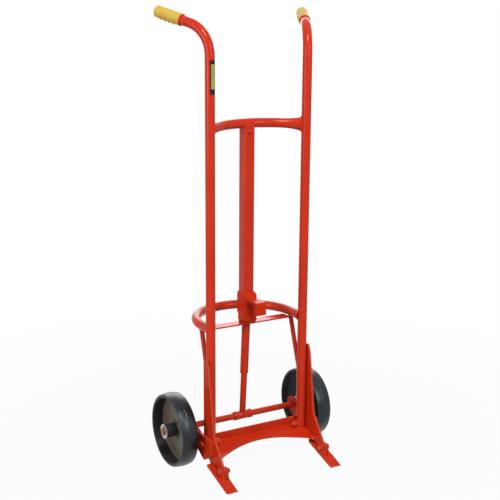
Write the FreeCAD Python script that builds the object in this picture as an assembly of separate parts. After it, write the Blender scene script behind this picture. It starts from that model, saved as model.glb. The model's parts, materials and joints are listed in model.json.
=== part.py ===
"""Two-wheeled drum trolley with a sliding chime hook, swinging prongs and a sprung axle.

All sizes are millimetres.  The model is worked out in the frame of the uprights: X across
the trolley, Y rearwards from the centreline of the uprights, Z up from the floor.  The
solids are written with Y measured from the middle of the whole depth instead.
"""
import FreeCAD, Part
import math
import os

from FreeCAD import Placement, Rotation, Vector

# Clearances
SEAT = 0.1            # between faces that are welded, clamped or pressed together
FIT = 0.05            # radial, between a pin and the hole that turns on it
RUN = 0.3             # between faces that slide or swing past each other

# Uprights, bent back and outwards into the two handles
TUBE_OD = 31.75
TUBE_WALL = 2.6
UPRIGHT_SPACING = 358.0
BEND_START_Z = 1374.0
BEND_RADIUS = 100.0
BEND_ANGLE = 74.5
HANDLE_SPLAY = 26.9
GRIP_SETBACK = 34.0
BEAD_LENGTH = 3.0
BEAD_HEIGHT = 3.0

# Grips
GRIP_LENGTH = 100.0
GRIP_WALL = 2.8
GRIP_END = 5.0
FINGER_RIDGES = 4
RIDGE_PITCH = 17.0
RIDGE_LENGTH = 9.0
RIDGE_HEIGHT = 2.0

# Upper bow between the uprights, flattened at its ends
TOP_BAR_Z = 1148.5     # at the uprights
TOP_BAR_RISE = 5.5     # from the uprights to the middle
TOP_BAR_BOW = 79.0
TOP_BAR_END_HEIGHT = 57.5
TOP_BAR_END_THICKNESS = 22.0
TOP_BAR_FLARE = 93.0
TOP_BAR_FLARE_POWER = 2.7

# Lower ring, its tie strip and its braces
RING_OD = 31.75
RING_Z = 492.0
RING_LEG = 69.425
RING_INSET = 4.0
STRIP_WIDTH = 38.0
STRIP_THICKNESS = 5.0
STRIP_RISE = 1.075
BRACE_D = 16.0
BRACE_TOP_Y = 75.0
BRACE_FOOT_Z = 250.0

# Centre post and the stop near its top
POST_SIZE = 38.0
POST_WALL = 3.0
POST_TOP_DROP = 5.0
STOP_DROP = 27.0
STOP_HEAD_R = 8.0
STOP_HEAD_HEIGHT = 8.0
STOP_SHANK_R = 4.0

# Chime hook, a casting that slides on the post
HOOK_GAP = 0.5
HOOK_WALL = 3.5
HOOK_FRONT = 14.0
HOOK_HEIGHT = 109.0
HOOK_CHAMFER = 7.0
HOOK_SIDE_CHAMFER = 4.0
HOOK_STRAP = 72.0
HOOK_STRAP_STEP = 8.0
HOOK_HEEL_DEPTH = 28.0
HOOK_HEEL_RISE = 8.0
HOOK_ARM_WIDTH = 36.0
HOOK_ARM_DROP = 18.7
HOOK_ARM_THICKNESS = 10.0
HOOK_JAW = 55.5
HOOK_LIP = 14.0
HOOK_LIP_DEPTH = 34.0
HOOK_ROUND = 6.0

# Side plates that carry the prongs
TOE_THICKNESS = 6.0
TOE_TOP_Z = 390.0
TOE_REAR = 10.0
TOE_TOP_FRONT = 24.0
TOE_KNEE_FRONT = 58.0
TOE_KNEE_Z = 145.0
TOE_END_FRONT = 136.0
TOE_END_Z = 56.0
TOE_TAB_REAR = 33.0
TOE_TAB_WIDTH = 15.0
TOE_TAB_Z = 40.0

# Prongs
PRONG_PIVOT_FRONT = 122.0
PRONG_PIVOT_Z = 47.0
PRONG_TIP_FRONT = 192.0
PRONG_LAND = 10.0
PRONG_TIP_THICKNESS = 2.5
PRONG_HEEL_FRONT = 50.0
PRONG_HEEL_Z = 41.0
PRONG_THICKNESS = 7.0
PRONG_INNER = 15.0
PRONG_OUTER = 24.0
PRONG_SWING = 8.0
EAR_THICKNESS = 6.0
EAR_GAP = 2.5
EAR_R = 12.5
EAR_GUSSET = 12.0
PRONG_BOLT_R = 5.0

# Nose plate, folded, with a drum-shaped front edge
NOSE_THICKNESS = 5.0
NOSE_TOP_Z = 119.0
NOSE_FOLD_Z = 90.0
NOSE_SLOPE = 0.33
NOSE_LIP_FRONT = 42.0
NOSE_LIP_SLOPE = 0.16
NOSE_FRONT = 16.5
NOSE_RADIUS = 330.0
NOSE_BEND_R = 3.0

# Wheels
WHEEL_R = 127.0
TYRE_WIDTH = 56.0
TYRE_DEPTH = 11.0
TYRE_CROWN = 3.0
TYRE_SHOULDER = 4.5
TYRE_INSET = 3.0     # from the middle of the hub towards the trolley
RIM_THICKNESS = 4.5
RIM_WIDTH = 50.0
WEB_THICKNESS = 5.0
WEB_INSET = 12.5     # from the middle of the rim towards the trolley
HUB_R = 23.0
HUB_LENGTH = 69.0
ROLLER_R = 3.0
ROLLERS = 9
BEARING_RING = 4.0

# Axle, its arms and fittings
AXLE_R = 11.0
AXLE_Y = 101.0
ARM_THICKNESS = 10.0
ARM_LOBE_R = 28.0
ARM_PIVOT_Z = 98.0
ARM_TOP_Z = 129.0
ARM_FRONT = 60.0
ARM_FRONT_LOW_Z = 76.0
ARM_TOE_FRONT = 40.0
ARM_TOE_Z = 63.0
ARM_LOW_FRONT = 9.0
ARM_LOW_Z = 45.0
ARM_BOSS_R = 17.0
ARM_BOSS_LENGTH = 20.0
ARM_ROUND = 6.0
ARM_SWING = 6.0
ARM_BOLT_R = 6.0
ARM_NUT_FLATS = 22.0
ARM_NUT_HEIGHT = 13.0
ARM_PIN_R = 4.0
ARM_PIN_FRONT = 22.0
ARM_PIN_Z = 66.0
WASHER_R = 25.0
WASHER_THICKNESS = 2.5
COTTER_R = 2.0
AXLE_END = 6.0
COLLAR_R = 15.0
COLLAR_WIDTH = 17.0
SET_SCREW_R = 3.0

# Telescopic strut between the tie strip and the axle
STRUT_OD = 28.6
STRUT_ROD_R = 11.0
STRUT_TOP_GAP = 5.0
STRUT_PIN_DROP = 17.0
STRUT_PIN_R = 4.0
STRUT_PIN_END = 1.0
STRUT_STEP_Z = 289.0
SPRING_SEAT_DROP = 28.0
SPRING_SEAT_THICKNESS = 5.0
SPRING_ROOM = 54.0
TONGUE_WIDTH = 12.0
TONGUE_DEPTH = 16.0
SPRING_WIRE_R = 1.5
SPRING_R = 9.0
SPRING_TURNS = 5
SLEEVE_R = 14.0
SLEEVE_LENGTH = 38.0
SLEEVE_GAP = 0.5

# Hexagon heads: across flats and height for a given shank radius
HEX_FLATS = 3.0
HEX_HEIGHT = 1.3

# Places that follow from the sizes above
TUBE_R = TUBE_OD / 2
UPRIGHT_X = UPRIGHT_SPACING / 2
TOE_X0 = UPRIGHT_X + TUBE_R + SEAT
TOE_X1 = TOE_X0 + TOE_THICKNESS
TOE_X = (TOE_X0 + TOE_X1) / 2
ARM_X0 = TOE_X1 + RUN
ARM_X1 = ARM_X0 + ARM_THICKNESS
WHEEL_INNER_X = ARM_X1 + ARM_BOSS_LENGTH + WASHER_THICKNESS + 2 * RUN
WHEEL_X = WHEEL_INNER_X + HUB_LENGTH / 2
WHEEL_OUTER_X = WHEEL_INNER_X + HUB_LENGTH
AXLE_X = WHEEL_OUTER_X + WASHER_THICKNESS + 2 * RUN + AXLE_END
RING_R = RING_OD / 2
RING_X = UPRIGHT_X - RING_INSET
RING_REAR = RING_LEG + RING_X + RING_R
MID_DEPTH = (RING_REAR - PRONG_TIP_FRONT) / 2
POST_Y = TOP_BAR_BOW
STRIP_TOP_Z = RING_Z - RING_R + STRIP_RISE
STRIP_LOW_Z = STRIP_TOP_Z - STRIP_THICKNESS
HOOK_LOW_Z = STRIP_TOP_Z + RUN
HOOK_TOP_Z = HOOK_LOW_Z + HOOK_HEIGHT
BOW_MID_Z = TOP_BAR_Z + TOP_BAR_RISE
STOP_Z = BOW_MID_Z - STOP_DROP
HOOK_FACE_Y = POST_Y - POST_SIZE / 2 - HOOK_GAP - HOOK_FRONT
STRUT_PIN_Z = STRIP_LOW_Z - STRUT_PIN_DROP
SPRING_SEAT_Z = STRUT_PIN_Z - SPRING_SEAT_DROP
STRUT_ROD_TOP_Z = SPRING_SEAT_Z - SPRING_ROOM
NOSE_FACE_Y = TUBE_R + SEAT
BLADE_SLOPE = PRONG_HEEL_Z / (PRONG_TIP_FRONT - PRONG_LAND - PRONG_HEEL_FRONT)


def vec(x, y, z):
    """A point in the frame of the uprights."""
    return Vector(x, y, z)


def cylinder_between(start, end, radius):
    """A round bar from one point to another."""
    along = end - start
    return Part.makeCylinder(radius, along.Length, start, along)


def cylinder_x(radius, x0, x1, y, z):
    """A round bar along X."""
    return cylinder_between(vec(x0, y, z), vec(x1, y, z), radius)


def box(x0, x1, y0, y1, z0, z1):
    """A block between two corners."""
    return Part.makeBox(x1 - x0, y1 - y0, z1 - z0, vec(x0, y0, z0))


def rounded_outline(corners):
    """Closed wire in the YZ plane through (y, z, radius) corners, each rounded by its radius."""
    edges = []
    first = last = None
    count = len(corners)
    for i, (y, z, radius) in enumerate(corners):
        here = vec(0, y, z)
        back = (vec(0, *corners[i - 1][:2]) - here).normalize()
        ahead = (vec(0, *corners[(i + 1) % count][:2]) - here).normalize()
        half = math.acos(max(-1.0, min(1.0, back.dot(ahead)))) / 2
        enter = leave = here
        arc = None
        if radius > 0:
            run = radius / math.tan(half)
            enter = here + back * run
            leave = here + ahead * run
            middle = (back + ahead).normalize()
            top = here + middle * (radius / math.sin(half) - radius)
            arc = Part.Arc(enter, top, leave).toShape()
        if last is not None:
            edges.append(Part.makeLine(last, enter))
        else:
            first = enter
        if arc is not None:
            edges.append(arc)
        last = leave
    edges.append(Part.makeLine(last, first))
    return Part.Wire(edges)


def prism_x(corners, x0, x1):
    """A rounded YZ outline extruded from x0 to x1."""
    face = Part.Face(rounded_outline(corners))
    face.translate(vec(x0, 0, 0))
    return face.extrude(vec(x1 - x0, 0, 0))


def hexagon_x(flats, x0, x1, y, z):
    """A hexagonal bar along X."""
    corner = flats / math.sqrt(3)
    turns = [math.radians(60 * k + 30) for k in range(6)]
    points = [vec(x0, y + corner * math.cos(a), z + corner * math.sin(a)) for a in turns]
    face = Part.Face(Part.makePolygon(points + points[:1]))
    return face.extrude(vec(x1 - x0, 0, 0))


def sweep(path, radius):
    """A round bar along a path of tangent lines and arcs."""
    start = path.OrderedEdges[0]
    point = start.valueAt(start.FirstParameter)
    heading = start.tangentAt(start.FirstParameter)
    if start.Orientation == "Reversed":
        point = start.valueAt(start.LastParameter)
        heading = start.tangentAt(start.LastParameter) * -1
    ring = Part.Wire(Part.makeCircle(radius, point, heading))
    return path.makePipeShell([ring], True, False)


def round_bar(edges, radius):
    """A round bar of true cylinders and tori along tangent lines and arcs."""
    start = edges[0]
    ring = Part.makeCircle(radius, start.valueAt(start.FirstParameter), start.tangentAt(start.FirstParameter))
    faces = [Part.Face(Part.Wire(ring))]
    for edge in edges:
        ring = ring.copy()
        if isinstance(edge.Curve, Part.Circle):
            centre, axis = edge.Curve.Center, edge.Curve.Axis
            turn = math.degrees(edge.LastParameter - edge.FirstParameter)
            faces.append(ring.revolve(centre, axis, turn))
            ring.rotate(centre, axis, turn)
        else:
            step = edge.valueAt(edge.LastParameter) - edge.valueAt(edge.FirstParameter)
            faces.append(ring.extrude(step))
            ring.translate(step)
    faces.append(Part.Face(Part.Wire(ring)))
    shell = Part.Shell(faces)
    shell.sewShape()
    bar = Part.Solid(shell)
    if bar.Volume < 0:
        bar.reverse()
    return bar


def revolve_x(profile, x, y, z):
    """A closed wire of (x, radius) points turned about an axis along X."""
    face = Part.Face(profile)
    solid = face.revolve(vec(0, 0, 0), vec(1, 0, 0), 360)
    solid.translate(vec(x, y, z))
    return solid


def mirrored(shape):
    """The same piece on the other side of the trolley."""
    return shape.mirror(vec(0, 0, 0), vec(1, 0, 0))


def both_sides(shape):
    """A piece and its mirror image, as separate solids of one node."""
    return Part.makeCompound(mirrored(shape).Solids + shape.Solids)


def blade_top(y):
    """Height of the upper face of a prong blade."""
    rise = PRONG_THICKNESS * math.sqrt(1 + BLADE_SLOPE ** 2)
    return BLADE_SLOPE * (y + PRONG_TIP_FRONT - PRONG_LAND) + rise


def nose_top(y):
    """Height of the upper face of the nose plate between its fold and its lip."""
    return NOSE_FOLD_Z + NOSE_SLOPE * (y - NOSE_FACE_Y)


def handle_frame():
    """Point where the right handle leaves its bend, its direction and its underside."""
    angle = math.radians(BEND_ANGLE)
    splay = math.radians(HANDLE_SPLAY)
    out = vec(math.sin(splay), math.cos(splay), 0)
    up = vec(0, 0, 1)
    centre = vec(UPRIGHT_X, 0, BEND_START_Z) + out * BEND_RADIUS
    end = centre - out * (BEND_RADIUS * math.cos(angle)) + up * (BEND_RADIUS * math.sin(angle))
    half = angle / 2
    middle = centre - out * (BEND_RADIUS * math.cos(half)) + up * (BEND_RADIUS * math.sin(half))
    heading = out * math.sin(angle) + up * math.cos(angle)
    under = out * math.cos(angle) - up * math.sin(angle)
    return middle, end, heading, under


def upright():
    """Right upright: a tube that stands on the nose plate and ends inside its grip."""
    middle, bend_end, heading, _ = handle_frame()
    foot = vec(UPRIGHT_X, 0, 0)
    bend_start = vec(UPRIGHT_X, 0, BEND_START_Z)
    tip = bend_end + heading * (GRIP_SETBACK + GRIP_LENGTH - GRIP_END - SEAT)
    path = Part.Wire([
        Part.makeLine(foot, bend_start),
        Part.Arc(bend_start, middle, bend_end).toShape(),
        Part.makeLine(bend_end, tip),
    ])
    bead_at = bend_end + heading * (GRIP_SETBACK - BEAD_LENGTH - SEAT)
    bead = Part.makeCylinder(TUBE_R + BEAD_HEIGHT, BEAD_LENGTH, bead_at, heading)
    bead = bead.makeFillet(BEAD_LENGTH * 0.4, [e for e in bead.Edges if len(e.Vertexes) == 1])
    tube = sweep(path, TUBE_R).fuse(bead)
    tube = tube.cut(sweep(path, TUBE_R - TUBE_WALL))
    corner = NOSE_FACE_Y - NOSE_BEND_R
    below = prism_x([(-TUBE_OD, nose_top(-TUBE_OD) + SEAT, 0), (corner, nose_top(corner) + SEAT, 0),
                     (NOSE_FACE_Y, NOSE_FOLD_Z + NOSE_BEND_R, 0), (TUBE_OD, NOSE_FOLD_Z + NOSE_BEND_R, 0),
                     (TUBE_OD, -1, 0), (-TUBE_OD, -1, 0)], 0, 2 * UPRIGHT_X)
    tube = tube.cut(below)
    return tube.cut(cylinder_x(ARM_BOLT_R + SEAT, 0, 2 * UPRIGHT_X, 0, ARM_PIVOT_Z)).removeSplitter()


def grip():
    """Right grip: a closed sleeve with finger ridges on its underside."""
    _, bend_end, heading, under = handle_frame()
    bore = TUBE_R + SEAT
    outer = bore + GRIP_WALL
    body = Part.makeCylinder(outer, GRIP_LENGTH)
    rim = [e for e in body.Edges if len(e.Vertexes) == 1 and e.CenterOfMass.z > GRIP_LENGTH / 2]
    body = body.makeFillet(min(GRIP_END, outer) * 0.9, rim)
    first = (GRIP_LENGTH - (FINGER_RIDGES - 1) * RIDGE_PITCH) / 2
    for k in range(FINGER_RIDGES):
        ridge = Part.makeTorus(outer - RIDGE_LENGTH / 2 + RIDGE_HEIGHT, RIDGE_LENGTH / 2)
        ridge.translate(vec(0, 0, first + k * RIDGE_PITCH))
        corner = vec(-2 * outer, outer * 0.35, -GRIP_LENGTH / 2)
        half = Part.makeBox(4 * outer, 2 * outer, 2 * GRIP_LENGTH, corner)
        body = body.fuse(ridge.common(half))
    body = body.cut(Part.makeCylinder(bore, GRIP_LENGTH - GRIP_END))
    place = Placement(bend_end + heading * GRIP_SETBACK, Rotation(Vector(), under, heading, "ZYX"))
    body.Placement = place
    return body.removeSplitter()


def bowed_tube(radius, end_height, end_thickness):
    """Upper bow as a solid bar: a round arc, tipped up, whose two ends flare into tall flats."""
    bow_r = (UPRIGHT_X ** 2 + TOP_BAR_BOW ** 2) / (2 * TOP_BAR_BOW)
    centre = vec(0, TOP_BAR_BOW - bow_r, TOP_BAR_Z)
    half = math.asin(UPRIGHT_X / bow_r)
    flare = half - TOP_BAR_FLARE / bow_r

    def section(angle, blend):
        out = vec(math.sin(angle), math.cos(angle), 0)
        tall = radius + (end_height / 2 - radius) * blend
        deep = radius + (end_thickness / 2 - radius) * blend
        shape = Part.Ellipse(vec(0, 0, 0), max(tall, deep), min(tall, deep)).toShape()
        if blend == 0:
            shape = Part.makeCircle(radius)
        wire = Part.Wire(shape)
        along = vec(math.cos(angle), -math.sin(angle), 0)
        wire.Placement = Placement(centre + out * bow_r, Rotation(vec(0, 0, 1), Vector(), along, "ZXY"))
        return wire

    arc = Part.Face(section(-flare, 0)).revolve(centre, vec(0, 0, -1), math.degrees(2 * flare))
    solid = arc
    for side in (-1, 1):
        shares = (0.0, 0.25, 0.5, 0.75, 1.0)
        wires = [section(side * (flare + s * (half - flare)), s ** TOP_BAR_FLARE_POWER) for s in shares]
        solid = solid.fuse(Part.makeLoft(wires, True, False))
    solid = solid.removeSplitter()
    solid.rotate(vec(0, 0, TOP_BAR_Z), vec(1, 0, 0), math.degrees(math.atan2(TOP_BAR_RISE, TOP_BAR_BOW)))
    return solid


def top_crossbar():
    """Hollow upper bow, cut to the uprights it is welded to."""
    wall = 2 * TUBE_WALL
    bar = bowed_tube(TUBE_R, TOP_BAR_END_HEIGHT, TOP_BAR_END_THICKNESS)
    bar = bar.cut(bowed_tube(TUBE_R - TUBE_WALL, TOP_BAR_END_HEIGHT - wall, TOP_BAR_END_THICKNESS - wall))
    for side in (-1, 1):
        bar = bar.cut(Part.makeCylinder(TUBE_R + SEAT, BEND_START_Z, vec(side * UPRIGHT_X, 0, 0)))
    return max(bar.Solids, key=lambda s: s.Volume)


def ring_path():
    """Centreline of the lower ring: two legs behind the uprights and a half circle."""
    start = TUBE_R * 0.5
    left = vec(-RING_X, RING_LEG, RING_Z)
    right = vec(RING_X, RING_LEG, RING_Z)
    rear = vec(0, RING_LEG + RING_X, RING_Z)
    return Part.Wire([
        Part.makeLine(vec(-RING_X, start, RING_Z), left),
        Part.Arc(left, rear, right).toShape(),
        Part.makeLine(right, vec(RING_X, start, RING_Z)),
    ])


def lower_ring():
    """Hollow ring, coped to the back of the uprights."""
    ring = sweep(ring_path(), RING_R).cut(sweep(ring_path(), RING_R - TUBE_WALL))
    for side in (-1, 1):
        ring = ring.cut(Part.makeCylinder(TUBE_R + SEAT, BEND_START_Z, vec(side * UPRIGHT_X, 0, 0)))
    return max(ring.Solids, key=lambda s: s.Volume)


def tie_strip():
    """Flat bar across the ring, which carries the post and the strut's tongue."""
    half = RING_X - RING_R * 0.75
    strip = box(-half, half, POST_Y - STRIP_WIDTH / 2, POST_Y + STRIP_WIDTH / 2, STRIP_LOW_Z, STRIP_TOP_Z)
    corners = [e for e in strip.Edges if abs(e.tangentAt(e.FirstParameter).z) > 0.5]
    strip = strip.makeFillet(STRIP_WIDTH * 0.1, corners)
    strip = strip.cut(sweep(ring_path(), RING_R + SEAT))
    low = STRUT_PIN_Z - TONGUE_DEPTH / 2
    tongue = box(-TONGUE_WIDTH / 2, TONGUE_WIDTH / 2, POST_Y - TONGUE_DEPTH / 2, POST_Y + TONGUE_DEPTH / 2,
                 low, STRIP_LOW_Z)
    corners = [e for e in tongue.Edges
               if abs(e.tangentAt(e.FirstParameter).x) > 0.5 and e.CenterOfMass.z < low + 1]
    tongue = tongue.makeFillet(TONGUE_DEPTH * 0.4, corners)
    solid = strip.fuse(tongue).removeSplitter()
    return solid.cut(cylinder_x(STRUT_PIN_R + SEAT, -TONGUE_WIDTH, TONGUE_WIDTH, POST_Y, STRUT_PIN_Z))


def brace():
    """Right brace: a rod from the underside of the ring down to the back of the upright."""
    top = vec(RING_X, BRACE_TOP_Y, RING_Z)
    foot = vec(UPRIGHT_X, 0, BRACE_FOOT_Z)
    rod = cylinder_between(foot, top, BRACE_D / 2)
    rod = rod.cut(Part.makeCylinder(TUBE_R + SEAT, BEND_START_Z, vec(UPRIGHT_X, 0, 0)))
    rod = rod.cut(round_bar(ring_path().Edges, RING_R + SEAT))
    rod = rod.cut(tie_strip_zone())
    return max(rod.Solids, key=lambda s: s.Volume)


def tie_strip_zone():
    """Space that the tie strip needs between the braces."""
    half = RING_X - RING_R * 0.75 + SEAT
    return box(-half, half, POST_Y - STRIP_WIDTH / 2 - SEAT, POST_Y + STRIP_WIDTH / 2 + SEAT,
               STRIP_LOW_Z - SEAT, RING_Z)


def centre_post():
    """Square tube between the tie strip and the upper bow."""
    half = POST_SIZE / 2
    low = STRIP_TOP_Z + SEAT
    high = BOW_MID_Z - POST_TOP_DROP
    post = box(-half, half, POST_Y - half, POST_Y + half, low, high)
    upright_edges = [e for e in post.Edges if abs(e.tangentAt(e.FirstParameter).z) > 0.5]
    post = post.makeFillet(POST_WALL, upright_edges)
    core = half - POST_WALL
    post = post.cut(box(-core, core, POST_Y - core, POST_Y + core, low - 1, high + 1))
    post = post.cut(bowed_tube(TUBE_R + SEAT, TOP_BAR_END_HEIGHT, TOP_BAR_END_THICKNESS))
    post = post.cut(cylinder_between(vec(0, 0, STOP_Z), vec(0, POST_Y, STOP_Z), STOP_SHANK_R + SEAT))
    return max(post.Solids, key=lambda s: s.Volume)


def post_stop():
    """Round-headed stop on the front of the post."""
    face = POST_Y - POST_SIZE / 2 - SEAT
    radius = (STOP_HEAD_R ** 2 + STOP_HEAD_HEIGHT ** 2) / (2 * STOP_HEAD_HEIGHT)
    dome = Part.makeSphere(radius, vec(0, face - STOP_HEAD_HEIGHT + radius, STOP_Z))
    dome = dome.common(box(-STOP_HEAD_R, STOP_HEAD_R, face - STOP_HEAD_HEIGHT - 1, face,
                           STOP_Z - STOP_HEAD_R, STOP_Z + STOP_HEAD_R))
    shank = cylinder_between(vec(0, face, STOP_Z), vec(0, face + POST_WALL + 2, STOP_Z), STOP_SHANK_R)
    return dome.fuse(shank).removeSplitter()


def chime_hook():
    """Casting with a square sleeve round the post and a down-turned jaw for the drum's rim."""
    bore = POST_SIZE / 2 + HOOK_GAP
    side = bore + HOOK_WALL
    rear = POST_Y + side
    sleeve = box(-side, side, HOOK_FACE_Y, rear, HOOK_LOW_Z, HOOK_TOP_Z)
    edges = [e for e in sleeve.Edges if abs(e.tangentAt(e.FirstParameter).z) > 0.5]
    sleeve = sleeve.makeFillet(HOOK_WALL * 0.6, edges)
    shoulder = HOOK_CHAMFER
    strap = HOOK_TOP_Z - HOOK_STRAP
    step = rear - HOOK_STRAP_STEP
    slopes = prism_x([(HOOK_FACE_Y, HOOK_TOP_Z - 2 * shoulder, 0), (HOOK_FACE_Y + shoulder, HOOK_TOP_Z, 0),
                      (rear - HOOK_SIDE_CHAMFER, HOOK_TOP_Z, 0),
                      (rear, HOOK_TOP_Z - 2 * HOOK_SIDE_CHAMFER, 0), (rear, strap, 0),
                      (step, strap - HOOK_STRAP_STEP, 0), (step, HOOK_LOW_Z + HOOK_HEEL_RISE, 0),
                      (step - HOOK_HEEL_DEPTH, HOOK_LOW_Z, 0), (HOOK_FACE_Y + shoulder, HOOK_LOW_Z, 0),
                      (HOOK_FACE_Y, HOOK_LOW_Z + 2 * shoulder, 0)], -side, side)
    cut = HOOK_SIDE_CHAMFER
    sides = Part.makePolygon([vec(x, HOOK_FACE_Y, z) for x, z in (
        (-side, HOOK_LOW_Z + 2 * cut), (-side, HOOK_TOP_Z - 2 * cut), (-side + cut, HOOK_TOP_Z),
        (side - cut, HOOK_TOP_Z), (side, HOOK_TOP_Z - 2 * cut), (side, HOOK_LOW_Z + 2 * cut),
        (side - cut, HOOK_LOW_Z), (-side + cut, HOOK_LOW_Z), (-side, HOOK_LOW_Z + 2 * cut))])
    sleeve = sleeve.common(slopes).common(Part.Face(sides).extrude(vec(0, rear - HOOK_FACE_Y, 0)))
    top = HOOK_TOP_Z - HOOK_ARM_DROP
    under = top - HOOK_ARM_THICKNESS
    lip_back = HOOK_FACE_Y - HOOK_JAW
    lip_front = lip_back - HOOK_LIP
    root = HOOK_FACE_Y + HOOK_FRONT * 0.5
    arm = prism_x([(root, HOOK_TOP_Z - shoulder, 0), (HOOK_FACE_Y - shoulder, top, HOOK_ROUND),
                   (lip_front, top, HOOK_ROUND), (lip_front, under - HOOK_LIP_DEPTH, HOOK_ROUND * 0.5),
                   (lip_back, under - HOOK_LIP_DEPTH, HOOK_ROUND * 0.5), (lip_back, under, HOOK_ROUND),
                   (HOOK_FACE_Y - shoulder, under, HOOK_ROUND), (root, under - 2 * shoulder, 0)],
                  -HOOK_ARM_WIDTH / 2, HOOK_ARM_WIDTH / 2)
    body = sleeve.fuse(arm).removeSplitter()
    return body.cut(box(-bore, bore, POST_Y - bore, POST_Y + bore, HOOK_LOW_Z - 1, HOOK_TOP_Z + 1))


def toe_plate():
    """Right side plate: a long shank on the tube, a kinked toe and a tab behind the prong."""
    pad_front = blade_top(-TOE_END_FRONT) + RUN
    pad_rear_y = -PRONG_PIVOT_FRONT - EAR_R * 0.3
    pad_rear = blade_top(pad_rear_y) + RUN
    heel_y = -PRONG_HEEL_FRONT + RUN * 6
    reach = PRONG_PIVOT_FRONT - PRONG_HEEL_FRONT
    heel_z = blade_top(-PRONG_HEEL_FRONT) + reach * math.tan(math.radians(PRONG_SWING + 1))
    tab_front = max(heel_y, -TOE_TAB_REAR - TOE_TAB_WIDTH)
    plate = prism_x([
        (TOE_REAR, TOE_TOP_Z, 10), (-TOE_TOP_FRONT * 0.6, TOE_TOP_Z, 9), (-TOE_TOP_FRONT, TOE_TOP_Z - 26, 20),
        (-TOE_KNEE_FRONT, TOE_KNEE_Z, 20), (-TOE_END_FRONT + 10, TOE_END_Z + 2, 10),
        (-TOE_END_FRONT, TOE_END_Z, 5), (-TOE_END_FRONT, pad_front, 2), (pad_rear_y, pad_rear, 0),
        (tab_front, heel_z, 0), (tab_front, TOE_TAB_Z, 2), (-TOE_TAB_REAR, TOE_TAB_Z, 2),
        (-TOE_TAB_REAR, TOE_TAB_Z + 8, 3), (TOE_REAR * 0.5, ARM_PIVOT_Z - 27, 14),
        (TOE_REAR, ARM_PIVOT_Z + 24, 20)], TOE_X0, TOE_X1)
    for y, z, radius in ((0, ARM_PIVOT_Z, ARM_BOLT_R), (-ARM_PIN_FRONT, ARM_PIN_Z, ARM_PIN_R),
                         (-PRONG_PIVOT_FRONT, PRONG_PIVOT_Z, PRONG_BOLT_R)):
        plate = plate.cut(cylinder_x(radius + SEAT, TOE_X0 - 1, TOE_X1 + 1, y, z))
    return plate


def nose_plate():
    """Folded plate between the side plates, with its front edge cut to the drum."""
    half = TOE_X0 - SEAT
    lip_z = nose_top(-NOSE_LIP_FRONT)
    front = NOSE_FRONT + NOSE_RADIUS
    front_z = lip_z - NOSE_LIP_SLOPE * (front - NOSE_LIP_FRONT)
    upper = [vec(0, NOSE_FACE_Y, NOSE_TOP_Z), vec(0, NOSE_FACE_Y, NOSE_FOLD_Z),
             vec(0, -NOSE_LIP_FRONT, lip_z), vec(0, -front, front_z)]
    lower = [p + vec(0, NOSE_THICKNESS, 0) for p in upper[:1]]
    for before, here, after in zip(upper, upper[1:], upper[2:]):
        a = (here - before).normalize()
        b = (after - here).normalize()
        normal = (vec(0, -a.z, a.y) + vec(0, -b.z, b.y)).normalize()
        lower.append(here + normal * (NOSE_THICKNESS / normal.dot(vec(0, -a.z, a.y))))
    last = (upper[-1] - upper[-2]).normalize()
    lower.append(upper[-1] + vec(0, -last.z, last.y) * NOSE_THICKNESS)
    rounds = {1: NOSE_BEND_R, 2: NOSE_BEND_R}
    corners = [(p.y, p.z, rounds.get(i, 0)) for i, p in enumerate(upper)]
    outer = {1: NOSE_BEND_R + NOSE_THICKNESS, 2: NOSE_BEND_R}
    corners += [(p.y, p.z, outer.get(i, 0)) for i, p in reversed(list(enumerate(lower)))]
    plate = prism_x(corners, -half, half)
    drum = Part.makeCylinder(NOSE_RADIUS, 2 * NOSE_TOP_Z, vec(0, -front, -NOSE_TOP_Z))
    plate = plate.cut(drum)
    ahead = box(-2 * half, 2 * half, -3 * front, -PRONG_PIVOT_FRONT + 2 * EAR_R, -NOSE_TOP_Z, NOSE_TOP_Z)
    plate = plate.cut(ahead)
    return max(plate.Solids, key=lambda s: s.CenterOfMass.y)


def prong():
    """Right prong: a tapered blade with two ears that straddle the side plate."""
    x0 = TOE_X - PRONG_INNER
    x1 = TOE_X + PRONG_OUTER
    rear = -PRONG_HEEL_FRONT
    land = -PRONG_TIP_FRONT + PRONG_LAND
    blade = prism_x([(-PRONG_TIP_FRONT, 0, 0), (land, 0, 0), (rear, PRONG_HEEL_Z, 0),
                     (rear, blade_top(rear), 1), (land + 3 * PRONG_LAND, blade_top(land + 3 * PRONG_LAND), 0),
                     (-PRONG_TIP_FRONT, PRONG_TIP_THICKNESS, 0)], x0, x1)
    foot_front = -PRONG_PIVOT_FRONT - EAR_R - EAR_GUSSET
    foot_rear = -PRONG_PIVOT_FRONT + EAR_R * 2
    sink = PRONG_THICKNESS * 0.5
    top = PRONG_PIVOT_Z + EAR_R
    outline = [(foot_front, blade_top(foot_front) - sink, 0),
               (-PRONG_PIVOT_FRONT - EAR_R, PRONG_PIVOT_Z - 4, EAR_R * 0.5),
               (-PRONG_PIVOT_FRONT - EAR_R, top, EAR_R * 0.98),
               (-PRONG_PIVOT_FRONT + EAR_R, top, EAR_R * 0.98),
               (foot_rear, blade_top(foot_rear) - sink, 0)]
    solid = blade
    near = TOE_THICKNESS / 2 + EAR_GAP
    for start in (TOE_X - near - EAR_THICKNESS, TOE_X + near):
        solid = solid.fuse(prism_x(outline, start, start + EAR_THICKNESS))
    hole = cylinder_x(PRONG_BOLT_R + FIT, x0, x1, -PRONG_PIVOT_FRONT, PRONG_PIVOT_Z)
    return solid.cut(hole).removeSplitter()


def bolt(radius, x_inner, x_head, y, z):
    """Hexagon bolt along X with its head outside x_head."""
    head = hexagon_x(HEX_FLATS * radius, x_head, x_head + HEX_HEIGHT * radius, y, z)
    return cylinder_x(radius, x_inner, x_head, y, z).fuse(head).removeSplitter()


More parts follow.
